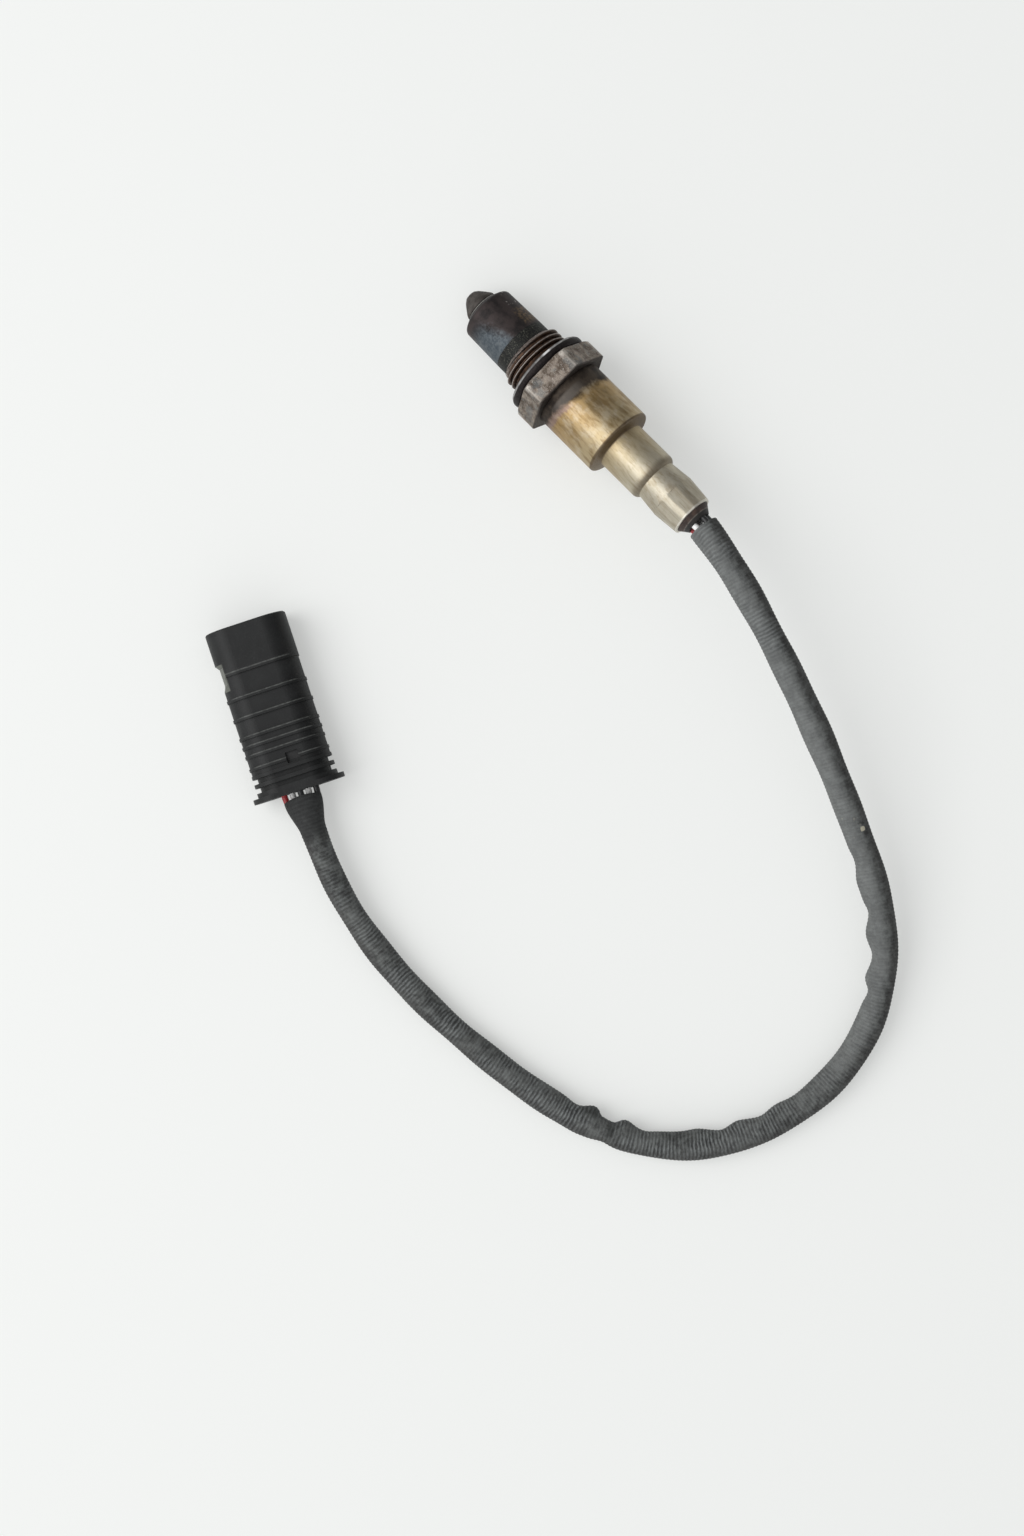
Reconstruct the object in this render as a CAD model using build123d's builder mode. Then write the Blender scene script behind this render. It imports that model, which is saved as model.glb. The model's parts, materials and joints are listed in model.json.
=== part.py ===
"""An engine's oxygen sensor with its sleeved five-wire harness and plug, lying on a floor.

Millimetres, +Z up, the floor at z = 0, and the origin below the middle of the sensor. The
sensor lies nose down on its outer tube's shoulder and its sealing ring, with its nose to +X.
Places along it are distances from the tip of its nose. The harness leaves its rear, sinks to the
floor, turns back and ends in the plug, whose mouth points to +X and a little to -Y.
"""

import math
import os

from build123d import *

os.makedirs("parts", exist_ok=True)

# ---------------------------------------------------------------- driving dimensions

press_gap = 0.02  # between pieces that are pressed or crimped together
slip_gap = 0.1  # between pieces that slide together
cut_overrun = 1.0  # how far a cutter goes past what it cuts

# Inner protection tube, which ends in the cone of the nose
nose_projection = 3.5
nose_flat_radius = 1.7
nose_round = 1.2
nose_hole_radius = 0.6
inner_tube_radius = 4.35
inner_tube_round = 0.6
inner_tube_wall = 0.4
inner_flange_radius = 6.2
inner_flange_thickness = 1.0
gas_hole_radius = 0.6
gas_hole_count = 6
gas_hole_setback = 5.0

# Outer protection tube
outer_tube_length = 17.9
outer_tube_wall = 0.5
mouth_radius = 4.65
rim_radius = 5.05
shoulder_length = 1.9
shoulder_radius = 7.3
shoulder_round = 0.8
root_radius = 7.65
spigot_length = 2.6

# Housing: M18 thread, neck, hexagon and the collar under the steel sleeve
thread_radius = 8.95
thread_chamfer = 1.0
thread_length = 5.1
neck_radius = 8.3
neck_length = 3.4
hex_across_flats = 22.0
hex_height = 6.2
hex_roll = 8.0
hex_corner_chamfer = 0.5
collar_length = 4.4
bore_radius = 5.0
chamber_radius = 6.5
chamber_setback = 1.4
lip_radius = 5.5
lip_length = 1.4

# Sealing ring, one strip of sheet folded to a C
ring_radius = 11.6
ring_hole_radius = 8.55
ring_thickness = 2.6
ring_round = 1.25
ring_sheet = 0.6

# Ceramic stack in the housing
front_bush_length = 5.7
talc_length = 2.5
bush_nose_length = 1.0
rear_bush_length = 9.0
bush_boss_radius = 3.9
bush_boss_length = 5.0
spring_thickness = 0.6
spring_rise = 0.4
spring_hole_radius = 4.6
element_width = 4.1
element_thickness = 1.3
element_setback = 6.5
element_length = 45.0

# Contact holder, its clamp ring and the five contacts
holder_radius = 7.2
holder_length = 10.0
holder_gap_to_step = 0.35
holder_split = 0.2
channel_width = 5.4
channel_half_height = 1.7
clamp_setback = 2.6
clamp_length = 5.0
clamp_sheet = 0.5
clamp_tab_count = 6
clamp_slot_width = 3.0
blade_width = 0.9
blade_thickness = 0.3
blade_setback = 1.0
disc_setback = 0.8
disc_thickness = 0.6
barrel_radius = 1.05
barrel_length = 3.4

# Steel sleeve over the rear, in three stages, crimped on to the grommet
sleeve_wall = 0.6
stage_1_radius = 9.6
stage_1_length = 18.05
stage_1_round = 1.2
stage_1_shoulder = 0.7
stage_2_radius = 6.65
stage_2_length = 13.05
stage_2_round = 0.8
stage_3_length = 13.9
waist_radius = 5.65
waist_taper_length = 0.8
swell_radius = 6.3
swell_setback = 6.8
sleeve_end_radius = 5.65
crimp_flats = 8
crimp_setback = 7.0
crimp_front_apothem = 6.12
crimp_rear_apothem = 5.45

# Grommet
grommet_setback = 1.0
grommet_projection = 2.3
grommet_end_radius = 3.4

# Harness: five wires in a ribbed sleeve
wire_radius = 0.8
wire_pitch_radius = 2.4
bundle_pitch_radius = 1.8
wire_bend_radius = 8.0
harness_gap = 1.0
harness_radius = 3.75
harness_wall = 0.45
harness_twist = 158.0
flare_length = 8.0
flare_width = 11.2
flare_height = 6.0
flare_wall = 0.5
plug_gap = 2.0
last_run = 15.5
row_setback = 1.2
strip_gap = 0.6

# Plug housing
plug_length = 44.7
plug_width = 21.1
plug_height = 13.5
plug_round = 6.0
plug_wall = 1.5
plug_heading = -25.5
plug_rear = (-19.5, 118.4)
cap_length = 6.6
partition_at = 28.0
partition_thickness = 2.0
rib_thickness = 0.8
rib_height = 0.7
rib_side_height = 0.2
rib_places = (33.2, 26.7, 21.6, 16.7, 14.3, 11.9, 8.6)
notch_top_depth = 2.5
notch_side_depth = 0.75
notch_front_at = 36.4
notch_floor_front_at = 35.4
notch_floor_rear_at = 31.1
notch_rear_at = 28.9
window_at = 8.75
window_length = 2.8
window_width = 3.3
window_offset = -1.5

# Rear cap, wire seal, terminal carrier and terminals
cap_flange_thickness = 1.25
cap_flange_width = 24.0
cap_groove_depth = 1.25
cap_groove_width = 1.3
cap_groove_spacing = 2.3
cap_spigot_length = 1.5
seal_length = 6.0
carrier_length = 7.9
terminal_spacing = 2.1
terminal_width = 1.5
terminal_height = 2.2
terminal_stop_gap = 0.4
terminal_barrel_radius = 0.95
terminal_barrel_length = 4.6
pin_width = 1.2
pin_thickness = 0.8
pin_recess = 5.2

# ---------------------------------------------------------------- places along the sensor

rim_at = nose_projection
shoulder_at = rim_at + shoulder_length
thread_at = rim_at + outer_tube_length
spigot_at = thread_at - spigot_length
neck_at = thread_at + thread_length
seat_at = neck_at + neck_length
hex_end_at = seat_at + hex_height
collar_end_at = hex_end_at + collar_length
stage_1_end_at = hex_end_at + stage_1_length
stage_2_end_at = stage_1_end_at + stage_2_length
waist_at = stage_2_end_at + waist_taper_length
sleeve_end_at = stage_2_end_at + stage_3_length
swell_at = sleeve_end_at - swell_setback
crimp_at = sleeve_end_at - crimp_setback
grommet_at = waist_at + grommet_setback
grommet_end_at = sleeve_end_at + grommet_projection
harness_at = grommet_end_at + harness_gap

flange_seat_at = spigot_at + inner_flange_thickness
talc_at = flange_seat_at + front_bush_length
rear_bush_at = talc_at + talc_length
chamber_at = seat_at - chamber_setback
bush_body_at = rear_bush_at + bush_nose_length
spring_at = bush_body_at + rear_bush_length
lip_at = collar_end_at - lip_length
holder_end_at = stage_1_end_at - sleeve_wall - holder_gap_to_step
holder_at = holder_end_at - holder_length
clamp_at = holder_at + clamp_setback
disc_at = holder_end_at + disc_setback
barrel_at = disc_at + disc_thickness
barrel_end_at = barrel_at + barrel_length
element_end_at = element_setback + element_length
ring_at = seat_at - ring_thickness

# The sensor lies on two roundings, the shoulder's and the ring's: its pitch is that of the line
# that touches both circles.
tube_taper = math.atan2(root_radius - shoulder_radius, spigot_at - shoulder_at)
shoulder_slope = math.atan2(shoulder_radius - rim_radius, shoulder_length)
shoulder_reach = shoulder_round * math.tan((shoulder_slope - tube_taper) / 2)
shoulder_centre_at = shoulder_at + shoulder_reach + shoulder_round * math.sin(tube_taper)
shoulder_centre_radius = shoulder_radius - shoulder_round * math.cos(tube_taper)
ring_centre_at = ring_at + ring_round
ring_centre_radius = ring_radius - ring_round
rest_run = ring_centre_at - shoulder_centre_at
rest_rise = ring_centre_radius - shoulder_centre_radius
pitch = math.atan2(rest_rise, rest_run) + math.asin(
    (ring_round - shoulder_round) / math.hypot(rest_run, rest_rise)
)

nose_slope = math.atan2(inner_tube_radius - nose_flat_radius, nose_projection)
nose_flat_edge = nose_flat_radius - nose_round * math.tan((math.pi / 2 - nose_slope) / 2)
nose_overhang = nose_round * (1 - math.cos(pitch)) + nose_flat_edge * math.sin(pitch)
plan_length = grommet_end_at * math.cos(pitch) + grommet_end_radius * math.sin(pitch)
nose_x = (plan_length - nose_overhang) / 2
nose_z = shoulder_round + shoulder_centre_radius * math.cos(pitch)
nose_z -= shoulder_centre_at * math.sin(pitch)

nose = Vector(nose_x, 0, nose_z)
aft = Vector(-math.cos(pitch), 0, math.sin(pitch))
sensor_axis = Axis(nose, aft)
sensor_side = Plane(origin=nose, x_dir=aft, z_dir=(0, 1, 0))  # local x aft, local y up


def across(distance):
    """The plane square to the sensor's axis, with local x to -Y, local y up, z aft."""
    return Plane(origin=nose + aft * distance, x_dir=(0, -1, 0), z_dir=aft)


def section(*corners):
    """A face of the lengthwise section. A corner is (distance, radius) or, where it is rounded,
    (distance, radius, rounding)."""
    with BuildSketch(sensor_side) as face:
        with BuildLine():
            FilletPolyline(
                [corner[:2] for corner in corners],
                radius=[corner[2] if len(corner) > 2 else 0 for corner in corners],
                close=True,
            )
        make_face()
    return face.sketch


def mitre(wall, turn):
    """How far along a wall its inner corner lies from the outer one, at a bend of turn."""
    return wall * math.tan(turn / 2)


def keep(name, part):
    """Label a finished piece and write it."""
    part.label = name
    export_step(part, f"parts/{name}.step")


# ---------------------------------------------------------------- protection tubes

with BuildPart() as outer_protection_tube:
    bore_shoulder_at = shoulder_at + mitre(outer_tube_wall, shoulder_slope)
    bore_shoulder_radius = shoulder_radius - outer_tube_wall
    mouth_setback = (bore_shoulder_radius - mouth_radius) / math.tan(shoulder_slope)
    tube_bore_radius = root_radius - outer_tube_wall
    revolve(
        section(
            (rim_at, mouth_radius),
            (rim_at, rim_radius),
            (shoulder_at, shoulder_radius, shoulder_round),
            (spigot_at, root_radius),
            (thread_at, root_radius),
            (thread_at, tube_bore_radius),
            (spigot_at, tube_bore_radius),
            (bore_shoulder_at, bore_shoulder_radius),
            (bore_shoulder_at - mouth_setback, mouth_radius),
        ),
        axis=sensor_axis,
    )
keep("outer_protection_tube", outer_protection_tube.part)

with BuildPart() as inner_protection_tube:
    inner_bore_radius = inner_tube_radius - inner_tube_wall
    tip_mitre = mitre(inner_tube_wall, math.pi / 2 - nose_slope)
    revolve(
        section(
            (0, nose_hole_radius),
            (0, nose_flat_radius, nose_round),
            (nose_projection, inner_tube_radius, inner_tube_round),
            (spigot_at, inner_tube_radius),
            (spigot_at, inner_flange_radius),
            (flange_seat_at, inner_flange_radius),
            (flange_seat_at, inner_bore_radius),
            (nose_projection + mitre(inner_tube_wall, nose_slope), inner_bore_radius),
            (inner_tube_wall, nose_flat_radius - tip_mitre),
            (inner_tube_wall, nose_hole_radius),
        ),
        axis=sensor_axis,
    )
    with Locations(across(rim_at + gas_hole_setback)):
        with PolarLocations(inner_tube_radius, gas_hole_count):
            Cylinder(
                gas_hole_radius,
                2 * inner_tube_wall + cut_overrun,
                rotation=(0, 90, 0),
                mode=Mode.SUBTRACT,
            )
keep("inner_protection_tube", inner_protection_tube.part)

# ---------------------------------------------------------------- housing and its ring

with BuildPart() as housing:
    spigot_radius = tube_bore_radius - press_gap
    counterbore_radius = inner_flange_radius + press_gap
    collar_radius = stage_1_radius - sleeve_wall - press_gap
    revolve(
        section(
            (spigot_at, counterbore_radius),
            (spigot_at, spigot_radius),
            (thread_at, spigot_radius),
            (thread_at, thread_radius - thread_chamfer),
            (thread_at + thread_chamfer, thread_radius),
            (neck_at - thread_radius + neck_radius, thread_radius),
            (neck_at, neck_radius),
            (hex_end_at, neck_radius),
            (hex_end_at, collar_radius),
            (collar_end_at, collar_radius, sleeve_wall),
            (collar_end_at, lip_radius),
            (lip_at, lip_radius),
            (lip_at, chamber_radius),
            (chamber_at, chamber_radius),
            (chamber_at, bore_radius),
            (flange_seat_at, bore_radius),
            (flange_seat_at, counterbore_radius),
        ),
        axis=sensor_axis,
    )
    with BuildSketch(across(seat_at)):
        RegularPolygon(
            hex_across_flats / 2, side_count=6, major_radius=False, rotation=hex_roll
        )
        Circle(chamber_radius, mode=Mode.SUBTRACT)
    extrude(amount=hex_height)
    hex_corner_radius = hex_across_flats / 2 / math.cos(math.pi / 6)
    revolve(
        section(
            (seat_at, hex_corner_radius - 2 * hex_corner_chamfer),
            (seat_at + hex_corner_chamfer, hex_corner_radius),
            (seat_at, hex_corner_radius),
        ),
        axis=sensor_axis,
        mode=Mode.SUBTRACT,
    )
keep("housing", housing.part)

with BuildPart() as sealing_ring:
    fold_radius = ring_radius - ring_sheet
    fold_round = ring_round - ring_sheet
    revolve(
        section(
            (ring_at, ring_hole_radius),
            (ring_at, ring_radius, ring_round),
            (seat_at, ring_radius, ring_round),
            (seat_at, ring_hole_radius),
            (seat_at - ring_sheet, ring_hole_radius),
            (seat_at - ring_sheet, fold_radius, fold_round),
            (ring_at + ring_sheet, fold_radius, fold_round),
            (ring_at + ring_sheet, ring_hole_radius),
        ),
        axis=sensor_axis,
    )
keep("sealing_ring", sealing_ring.part)

# ---------------------------------------------------------------- ceramic stack


def element_slot(gap):
    """Cut the sensing element's slot, with this gap all round, through the piece in hand."""
    with BuildSketch(across(element_setback)) as slot:
        Rectangle(element_width + 2 * gap, element_thickness + 2 * gap)
    extrude(slot.sketch, amount=element_length, mode=Mode.SUBTRACT)


with BuildPart() as front_ceramic_bush:
    with BuildSketch(across(flange_seat_at)):
        Circle(bore_radius - press_gap)
    extrude(amount=front_bush_length)
    element_slot(slip_gap)
keep("front_ceramic_bush", front_ceramic_bush.part)

with BuildPart() as talc_packing:
    with BuildSketch(across(talc_at)):
        Circle(bore_radius - press_gap)
    extrude(amount=talc_length)
    element_slot(press_gap)
keep("talc_packing", talc_packing.part)

with BuildPart() as rear_ceramic_bush:
    revolve(
        section(
            (rear_bush_at, 0),
            (rear_bush_at, bore_radius - slip_gap),
            (bush_body_at, bore_radius - slip_gap),
            (bush_body_at, chamber_radius - slip_gap),
            (spring_at, chamber_radius - slip_gap),
            (spring_at, bush_boss_radius),
            (spring_at + bush_boss_length, bush_boss_radius),
            (spring_at + bush_boss_length, 0),
        ),
        axis=sensor_axis,
    )
    element_slot(slip_gap)
keep("rear_ceramic_bush", rear_ceramic_bush.part)

with BuildPart() as disc_spring:
    revolve(
        section(
            (spring_at, spring_hole_radius),
            (spring_at + spring_thickness, spring_hole_radius),
            (lip_at, chamber_radius - slip_gap),
            (lip_at - spring_thickness, chamber_radius - slip_gap),
        ),
        axis=sensor_axis,
    )
keep("disc_spring", disc_spring.part)

with BuildPart() as sensor_element:
    with BuildSketch(across(element_setback)):
        Rectangle(element_width, element_thickness)
    extrude(amount=element_length)
keep("sensor_element", sensor_element.part)

# ---------------------------------------------------------------- contact holder

for name, way in (("contact_holder_upper", 1), ("contact_holder_lower", -1)):
    with BuildPart() as half_shell:
        with BuildSketch(across(holder_at)):
            Circle(holder_radius)
            with Locations((0, -way * holder_radius)):
                Rectangle(
                    2 * holder_radius, 2 * holder_radius + holder_split, mode=Mode.SUBTRACT
                )
            Rectangle(channel_width, 2 * channel_half_height, mode=Mode.SUBTRACT)
        extrude(amount=holder_length)
    keep(name, half_shell.part)

with BuildPart() as clamp_ring:
    ring_bore = holder_radius + press_gap
    tab_radius = stage_1_radius - sleeve_wall - slip_gap
    revolve(
        section(
            (clamp_at, ring_bore),
            (clamp_at, tab_radius),
            (clamp_at + clamp_sheet, tab_radius),
            (clamp_at + clamp_sheet, ring_bore + clamp_sheet),
            (clamp_at + clamp_length, ring_bore + clamp_sheet),
            (clamp_at + clamp_length, ring_bore),
        ),
        axis=sensor_axis,
    )
    with BuildSketch(across(clamp_at)):
        with PolarLocations(tab_radius, clamp_tab_count):
            Rectangle(2 * (tab_radius - ring_bore - clamp_sheet), clamp_slot_width)
    extrude(amount=clamp_sheet, mode=Mode.SUBTRACT)
keep("clamp_ring", clamp_ring.part)

# Each wire's colour, its angle in the grommet (from +Y towards up, seen along the harness), its
# contact's place across the element and the side that the contact presses on, its offsets half
# way along the flare (to the right, up), and its place in the plug's row, counted to the right.
wires = (
    ("white_a", 50.0, 1.1, 1, (1.3, -1.0), 1),
    ("black", 122.0, -1.1, 1, (3.3, -0.6), 2),
    ("grey", 194.0, -1.5, -1, (0.4, 1.2), 0),
    ("white_b", 266.0, 0.0, -1, (-1.6, 0.6), -1),
    ("red", 338.0, 1.5, -1, (-3.5, 0.0), -2),
)


def ring_point(radius, angle):
    """A point at this angle on a circle, as (to the right, up)."""
    return radius * math.cos(math.radians(angle)), radius * math.sin(math.radians(angle))


for colour, angle, blade_at, side, _, _ in wires:
    to_right, up = ring_point(wire_pitch_radius, angle)
    roof = side * (channel_half_height - blade_thickness / 2)
    touch = side * (element_thickness / 2 + blade_thickness / 2)
    blade_start_at = holder_at + blade_setback
    touch_at = (blade_start_at + element_end_at) / 2
    with BuildPart() as contact:
        with BuildSketch(sensor_side.offset(blade_at)):
            with BuildLine():
                Polyline(
                    (blade_start_at, roof), (touch_at, touch), (element_end_at, roof), (disc_at, roof)
                )
            trace(line_width=blade_thickness)
        extrude(amount=blade_width / 2, both=True)
        with BuildSketch(across(disc_at)):
            with Locations((-to_right, up)):
                Circle(barrel_radius)
        extrude(amount=disc_thickness)
        with BuildSketch(across(barrel_at)):
            with Locations((-to_right, up)):
                Circle(barrel_radius)
                Circle(wire_radius, mode=Mode.SUBTRACT)
        extrude(amount=barrel_length)
    keep(f"contact_{colour}", contact.part)

# ---------------------------------------------------------------- steel sleeve and grommet

with BuildPart() as crimp_jaws:
    """What the crimping jaws take off a round end: all that is outside a tapered prism."""
    jaw_end_at = sleeve_end_at + cut_overrun
    with BuildSketch(across(crimp_at)):
        Circle(stage_2_radius + cut_overrun)
    extrude(amount=jaw_end_at - crimp_at)
    with BuildSketch(across(crimp_at)):
        RegularPolygon(crimp_front_apothem, side_count=crimp_flats, major_radius=False)
    with BuildSketch(across(jaw_end_at)):
        RegularPolygon(crimp_rear_apothem, side_count=crimp_flats, major_radius=False)
    loft(mode=Mode.SUBTRACT)

with BuildPart() as protective_sleeve:
    waist_turn = math.atan2(stage_2_radius - waist_radius, waist_taper_length)
    stage_2_mitre = mitre(sleeve_wall, waist_turn)
    revolve(
        section(
            (hex_end_at, stage_1_radius),
            (stage_1_end_at, stage_1_radius, stage_1_round),
            (stage_1_end_at + stage_1_shoulder, stage_2_radius),
            (stage_2_end_at, stage_2_radius, stage_2_round),
            (waist_at, waist_radius),
            (swell_at, swell_radius),
            (sleeve_end_at, sleeve_end_radius),
            (sleeve_end_at, sleeve_end_radius - sleeve_wall),
            (swell_at, swell_radius - sleeve_wall),
            (waist_at - stage_2_mitre, waist_radius - sleeve_wall),
            (stage_2_end_at - stage_2_mitre, stage_2_radius - sleeve_wall),
            (stage_1_end_at + stage_1_shoulder - sleeve_wall, stage_2_radius - sleeve_wall),
            (stage_1_end_at - sleeve_wall, stage_1_radius - sleeve_wall, sleeve_wall),
            (hex_end_at, stage_1_radius - sleeve_wall),
        ),
        axis=sensor_axis,
    )
    add(crimp_jaws.part, mode=Mode.SUBTRACT)
keep("protective_sleeve", protective_sleeve.part)

with BuildPart() as cable_grommet:
    fit = sleeve_wall + press_gap
    bore_slope = (swell_radius - waist_radius) / (swell_at - waist_at)
    grommet_front_radius = waist_radius + bore_slope * (grommet_at - waist_at) - fit
    revolve(
        section(
            (grommet_at, 0),
            (grommet_at, grommet_front_radius - grommet_setback / 2),
            (grommet_at + grommet_setback, grommet_front_radius),
            (swell_at, swell_radius - fit),
            (sleeve_end_at, sleeve_end_radius - fit),
            (grommet_end_at, grommet_end_radius),
            (grommet_end_at, 0),
        ),
        axis=sensor_axis,
    )
    with BuildSketch(across(grommet_at)):
        for _, angle, *_ in wires:
            to_right, up = ring_point(wire_pitch_radius, angle)
            with Locations((-to_right, up)):
                Circle(wire_radius)
    extrude(amount=grommet_end_at - grommet_at, mode=Mode.SUBTRACT)
keep("cable_grommet", cable_grommet.part)

# ---------------------------------------------------------------- the harness's route

plug_way = Vector(
    math.cos(math.radians(plug_heading)), math.sin(math.radians(plug_heading)), 0
)
plug_middle = plug_height / 2
plug_start = Vector(*plug_rear, plug_middle)

# The sleeve's middle line, from the sensor's rear to the plug. The points are corners of straight
# runs that tangent arcs join.
route = [
    nose + aft * harness_at,
    Vector(-53.1, 1.5, 24.1),
    Vector(-75.8, 7.4, 23.4),
    Vector(-99.8, 14.8, 19.6),
    Vector(-126.5, 24.8, 13.9),
    Vector(-143.8, 33.3, 10.0),
    Vector(-155.4, 42.8, 7.4),
    Vector(-163.4, 55.2, 5.4),
    Vector(-167.2, 70.6, 4.2),
    Vector(-165.8, 87.4, 3.8),
    Vector(-157.8, 104.5, 3.8),
    Vector(-142.8, 118.9, 3.8),
    Vector(-121.8, 127.6, 3.8),
    Vector(-93.6, 132.4, 3.8),
    Vector(-71.0, 133.3, 4.1),
    Vector(-51.6, 131.0, 5.2),
    plug_start - plug_way * (plug_gap + last_run),
    plug_start - plug_way * plug_gap,
]


def arc_radii(points):
    """The largest tidy arc at each inner corner: 0.45 of the shorter run on each side."""
    radii = []
    for before, corner, after in zip(points, points[1:], points[2:]):
        shorter = min((corner - before).length, (after - corner).length)
        half_turn = math.radians((corner - before).get_angle(after - corner)) / 2
        radii.append(0.45 * shorter / math.tan(half_turn))
    return radii


def swept_length(path):
    """The length of a path's runs and arcs together."""
    return sum(edge.length for edge in path.edges())


flare_at = route[-1] - plug_way * flare_length
across_flare = Plane(origin=flare_at, x_dir=plug_way.cross(Vector(0, 0, 1)), z_dir=plug_way)
harness_radii = arc_radii(route)

with BuildPart() as harness_sleeve:
    with BuildLine() as middle_line:
        FilletPolyline(*route[:-1], flare_at, radius=harness_radii)
    with BuildSketch(Plane(origin=middle_line.line @ 0, z_dir=middle_line.line % 0)):
        Circle(harness_radius)
        Circle(harness_radius - harness_wall, mode=Mode.SUBTRACT)
    sweep(path=middle_line.line)
    with BuildSketch(across_flare):
        Circle(harness_radius)
    with BuildSketch(across_flare.offset(flare_length)):
        Ellipse(flare_width / 2, flare_height / 2)
    loft()
    with BuildSketch(across_flare):
        Circle(harness_radius - harness_wall)
    with BuildSketch(across_flare.offset(flare_length)):
        Ellipse(flare_width / 2 - flare_wall, flare_height / 2 - flare_wall)
    loft(mode=Mode.SUBTRACT)
keep("harness_sleeve", harness_sleeve.part)
tube_length = swept_length(middle_line.line)
print("harness arcs", [round(radius, 1) for radius in harness_radii])
print("harness length", round(tube_length + flare_length, 1))

# ---------------------------------------------------------------- the five wires

route_length = sum((b - a).length for a, b in zip(route, route[1:]))
wire_end_in_plug = cap_length + cap_spigot_length + seal_length
wire_end_in_plug += terminal_barrel_length - strip_gap


def offset_point(point, way, to_right, up):
    """The point moved to the right of and above a line that runs this way."""
    right = way.cross(Vector(0, 0, 1)).normalized()
    return point + right * to_right + right.cross(way).normalized() * up


def wire_line(angle, mid_flare, row_place):
    """A wire's corners: straight through the grommet, round with the bundle's twist, and fanned
    out to its place in the plug's row."""
    points = [
        offset_point(nose + aft * distance, aft, *ring_point(wire_pitch_radius, angle))
        for distance in (barrel_at, harness_at)
    ]
    run_so_far = 0.0
    for before, point, after in zip(route, route[1:], [*route[2:-1], flare_at]):
        run_so_far += (point - before).length
        turned = angle - harness_twist * run_so_far / (route_length - flare_length)
        way = (after - before).normalized()
        points.append(offset_point(point, way, *ring_point(bundle_pitch_radius, turned)))
    in_flare = ring_point(bundle_pitch_radius, angle - harness_twist)
    in_row = (row_place * terminal_spacing, 0)
    points += [
        offset_point(flare_at, plug_way, *in_flare),
        offset_point(flare_at + plug_way * flare_length / 2, plug_way, *mid_flare),
        offset_point(plug_start - plug_way * row_setback, plug_way, *in_row),
        offset_point(plug_start + plug_way * wire_end_in_plug, plug_way, *in_row),
    ]
    return points


for colour, angle, _, _, mid_flare, row_place in wires:
    points = wire_line(angle, mid_flare, row_place)
    radii = arc_radii(points)
    radii[0] = wire_bend_radius
    radii[-1] = wire_bend_radius
    with BuildPart() as wire:
        with BuildLine() as wire_path:
            FilletPolyline(*points, radius=radii)
        with BuildSketch(Plane(origin=wire_path.line @ 0, z_dir=wire_path.line % 0)):
            Circle(wire_radius)
        sweep(path=wire_path.line)
    keep(f"wire_{colour}", wire.part)
    print("wire", colour, "length", round(swept_length(wire_path.line), 1), "least arc", min(radii))

# ---------------------------------------------------------------- plug

plug_frame = Plane(origin=(*plug_rear, 0), x_dir=plug_way, z_dir=(0, 0, 1))


def plug_section(distance, height=plug_middle):
    """The plane square to the plug, with local x to its left, local y up, z to its mouth."""
    origin = plug_frame.from_local_coords((distance, 0, height))
    return Plane(origin=origin, x_dir=plug_frame.y_dir, z_dir=plug_way)


seal_at = cap_length + cap_spigot_length
terminal_barrel_at = seal_at + seal_length
carrier_at = partition_at - carrier_length
chamber_width = plug_width - 2 * plug_wall
chamber_height = plug_height - 2 * plug_wall
chamber_round = plug_round - plug_wall
cavity_at = partition_at + partition_thickness
row_places = [row_place for *_, row_place in wires]
flute_fronts = [at - rib_thickness / 2 for at in rib_places]
flute_rears = [at + rib_thickness / 2 for at in (*rib_places[1:], cap_length)]

with BuildPart() as connector_housing:
    with BuildSketch(plug_section(cap_length)):
        RectangleRounded(plug_width, plug_height, plug_round)
    extrude(amount=plug_length - cap_length)
    # The grip's flutes between the ribs, deep above and below and shallow at the sides
    for front, rear in zip(flute_fronts, flute_rears):
        with BuildSketch(plug_section(rear)):
            RectangleRounded(plug_width, plug_height, plug_round)
            RectangleRounded(
                plug_width - 2 * rib_side_height,
                plug_height - 2 * rib_height,
                plug_round - rib_side_height,
                mode=Mode.SUBTRACT,
            )
        extrude(amount=front - rear, mode=Mode.SUBTRACT)
    # The notch that keys the plug, down its left side: deep above and below, shallow half way up
    for height in (0, plug_height):
        for level, depth in ((height, notch_top_depth), (plug_middle, notch_side_depth)):
            with BuildSketch(plug_frame.offset(level)):
                with BuildLine():
                    Polyline(
                        (notch_front_at, plug_width / 2),
                        (notch_floor_front_at, plug_width / 2 - depth),
                        (notch_floor_rear_at, plug_width / 2 - depth),
                        (notch_rear_at, plug_width / 2),
                        close=True,
                    )
                make_face()
        loft(mode=Mode.SUBTRACT)
    # The mouth, and the chamber behind the partition
    with BuildSketch(plug_section(cavity_at)):
        RectangleRounded(chamber_width, chamber_height, chamber_round)
    extrude(amount=plug_length - cavity_at, mode=Mode.SUBTRACT)
    with BuildSketch(plug_section(cap_length)):
        RectangleRounded(chamber_width, chamber_height, chamber_round)
    extrude(amount=partition_at - cap_length, mode=Mode.SUBTRACT)
    with BuildSketch(plug_section(partition_at)):
        with GridLocations(terminal_spacing, 1, len(wires), 1):
            Rectangle(pin_width + press_gap, pin_thickness + press_gap)
    extrude(amount=partition_thickness, mode=Mode.SUBTRACT)
    with BuildSketch(plug_frame.offset(plug_height)):
        with Locations((window_at, window_offset)):
            Rectangle(window_length, window_width)
    extrude(amount=-plug_wall, mode=Mode.SUBTRACT)
    mouth_face = connector_housing.faces().sort_by(Axis((0, 0, 0), plug_way))[-1]
    chamfer(mouth_face.outer_wire().edges(), plug_wall / 5)
keep("connector_housing", connector_housing.part)

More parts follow.
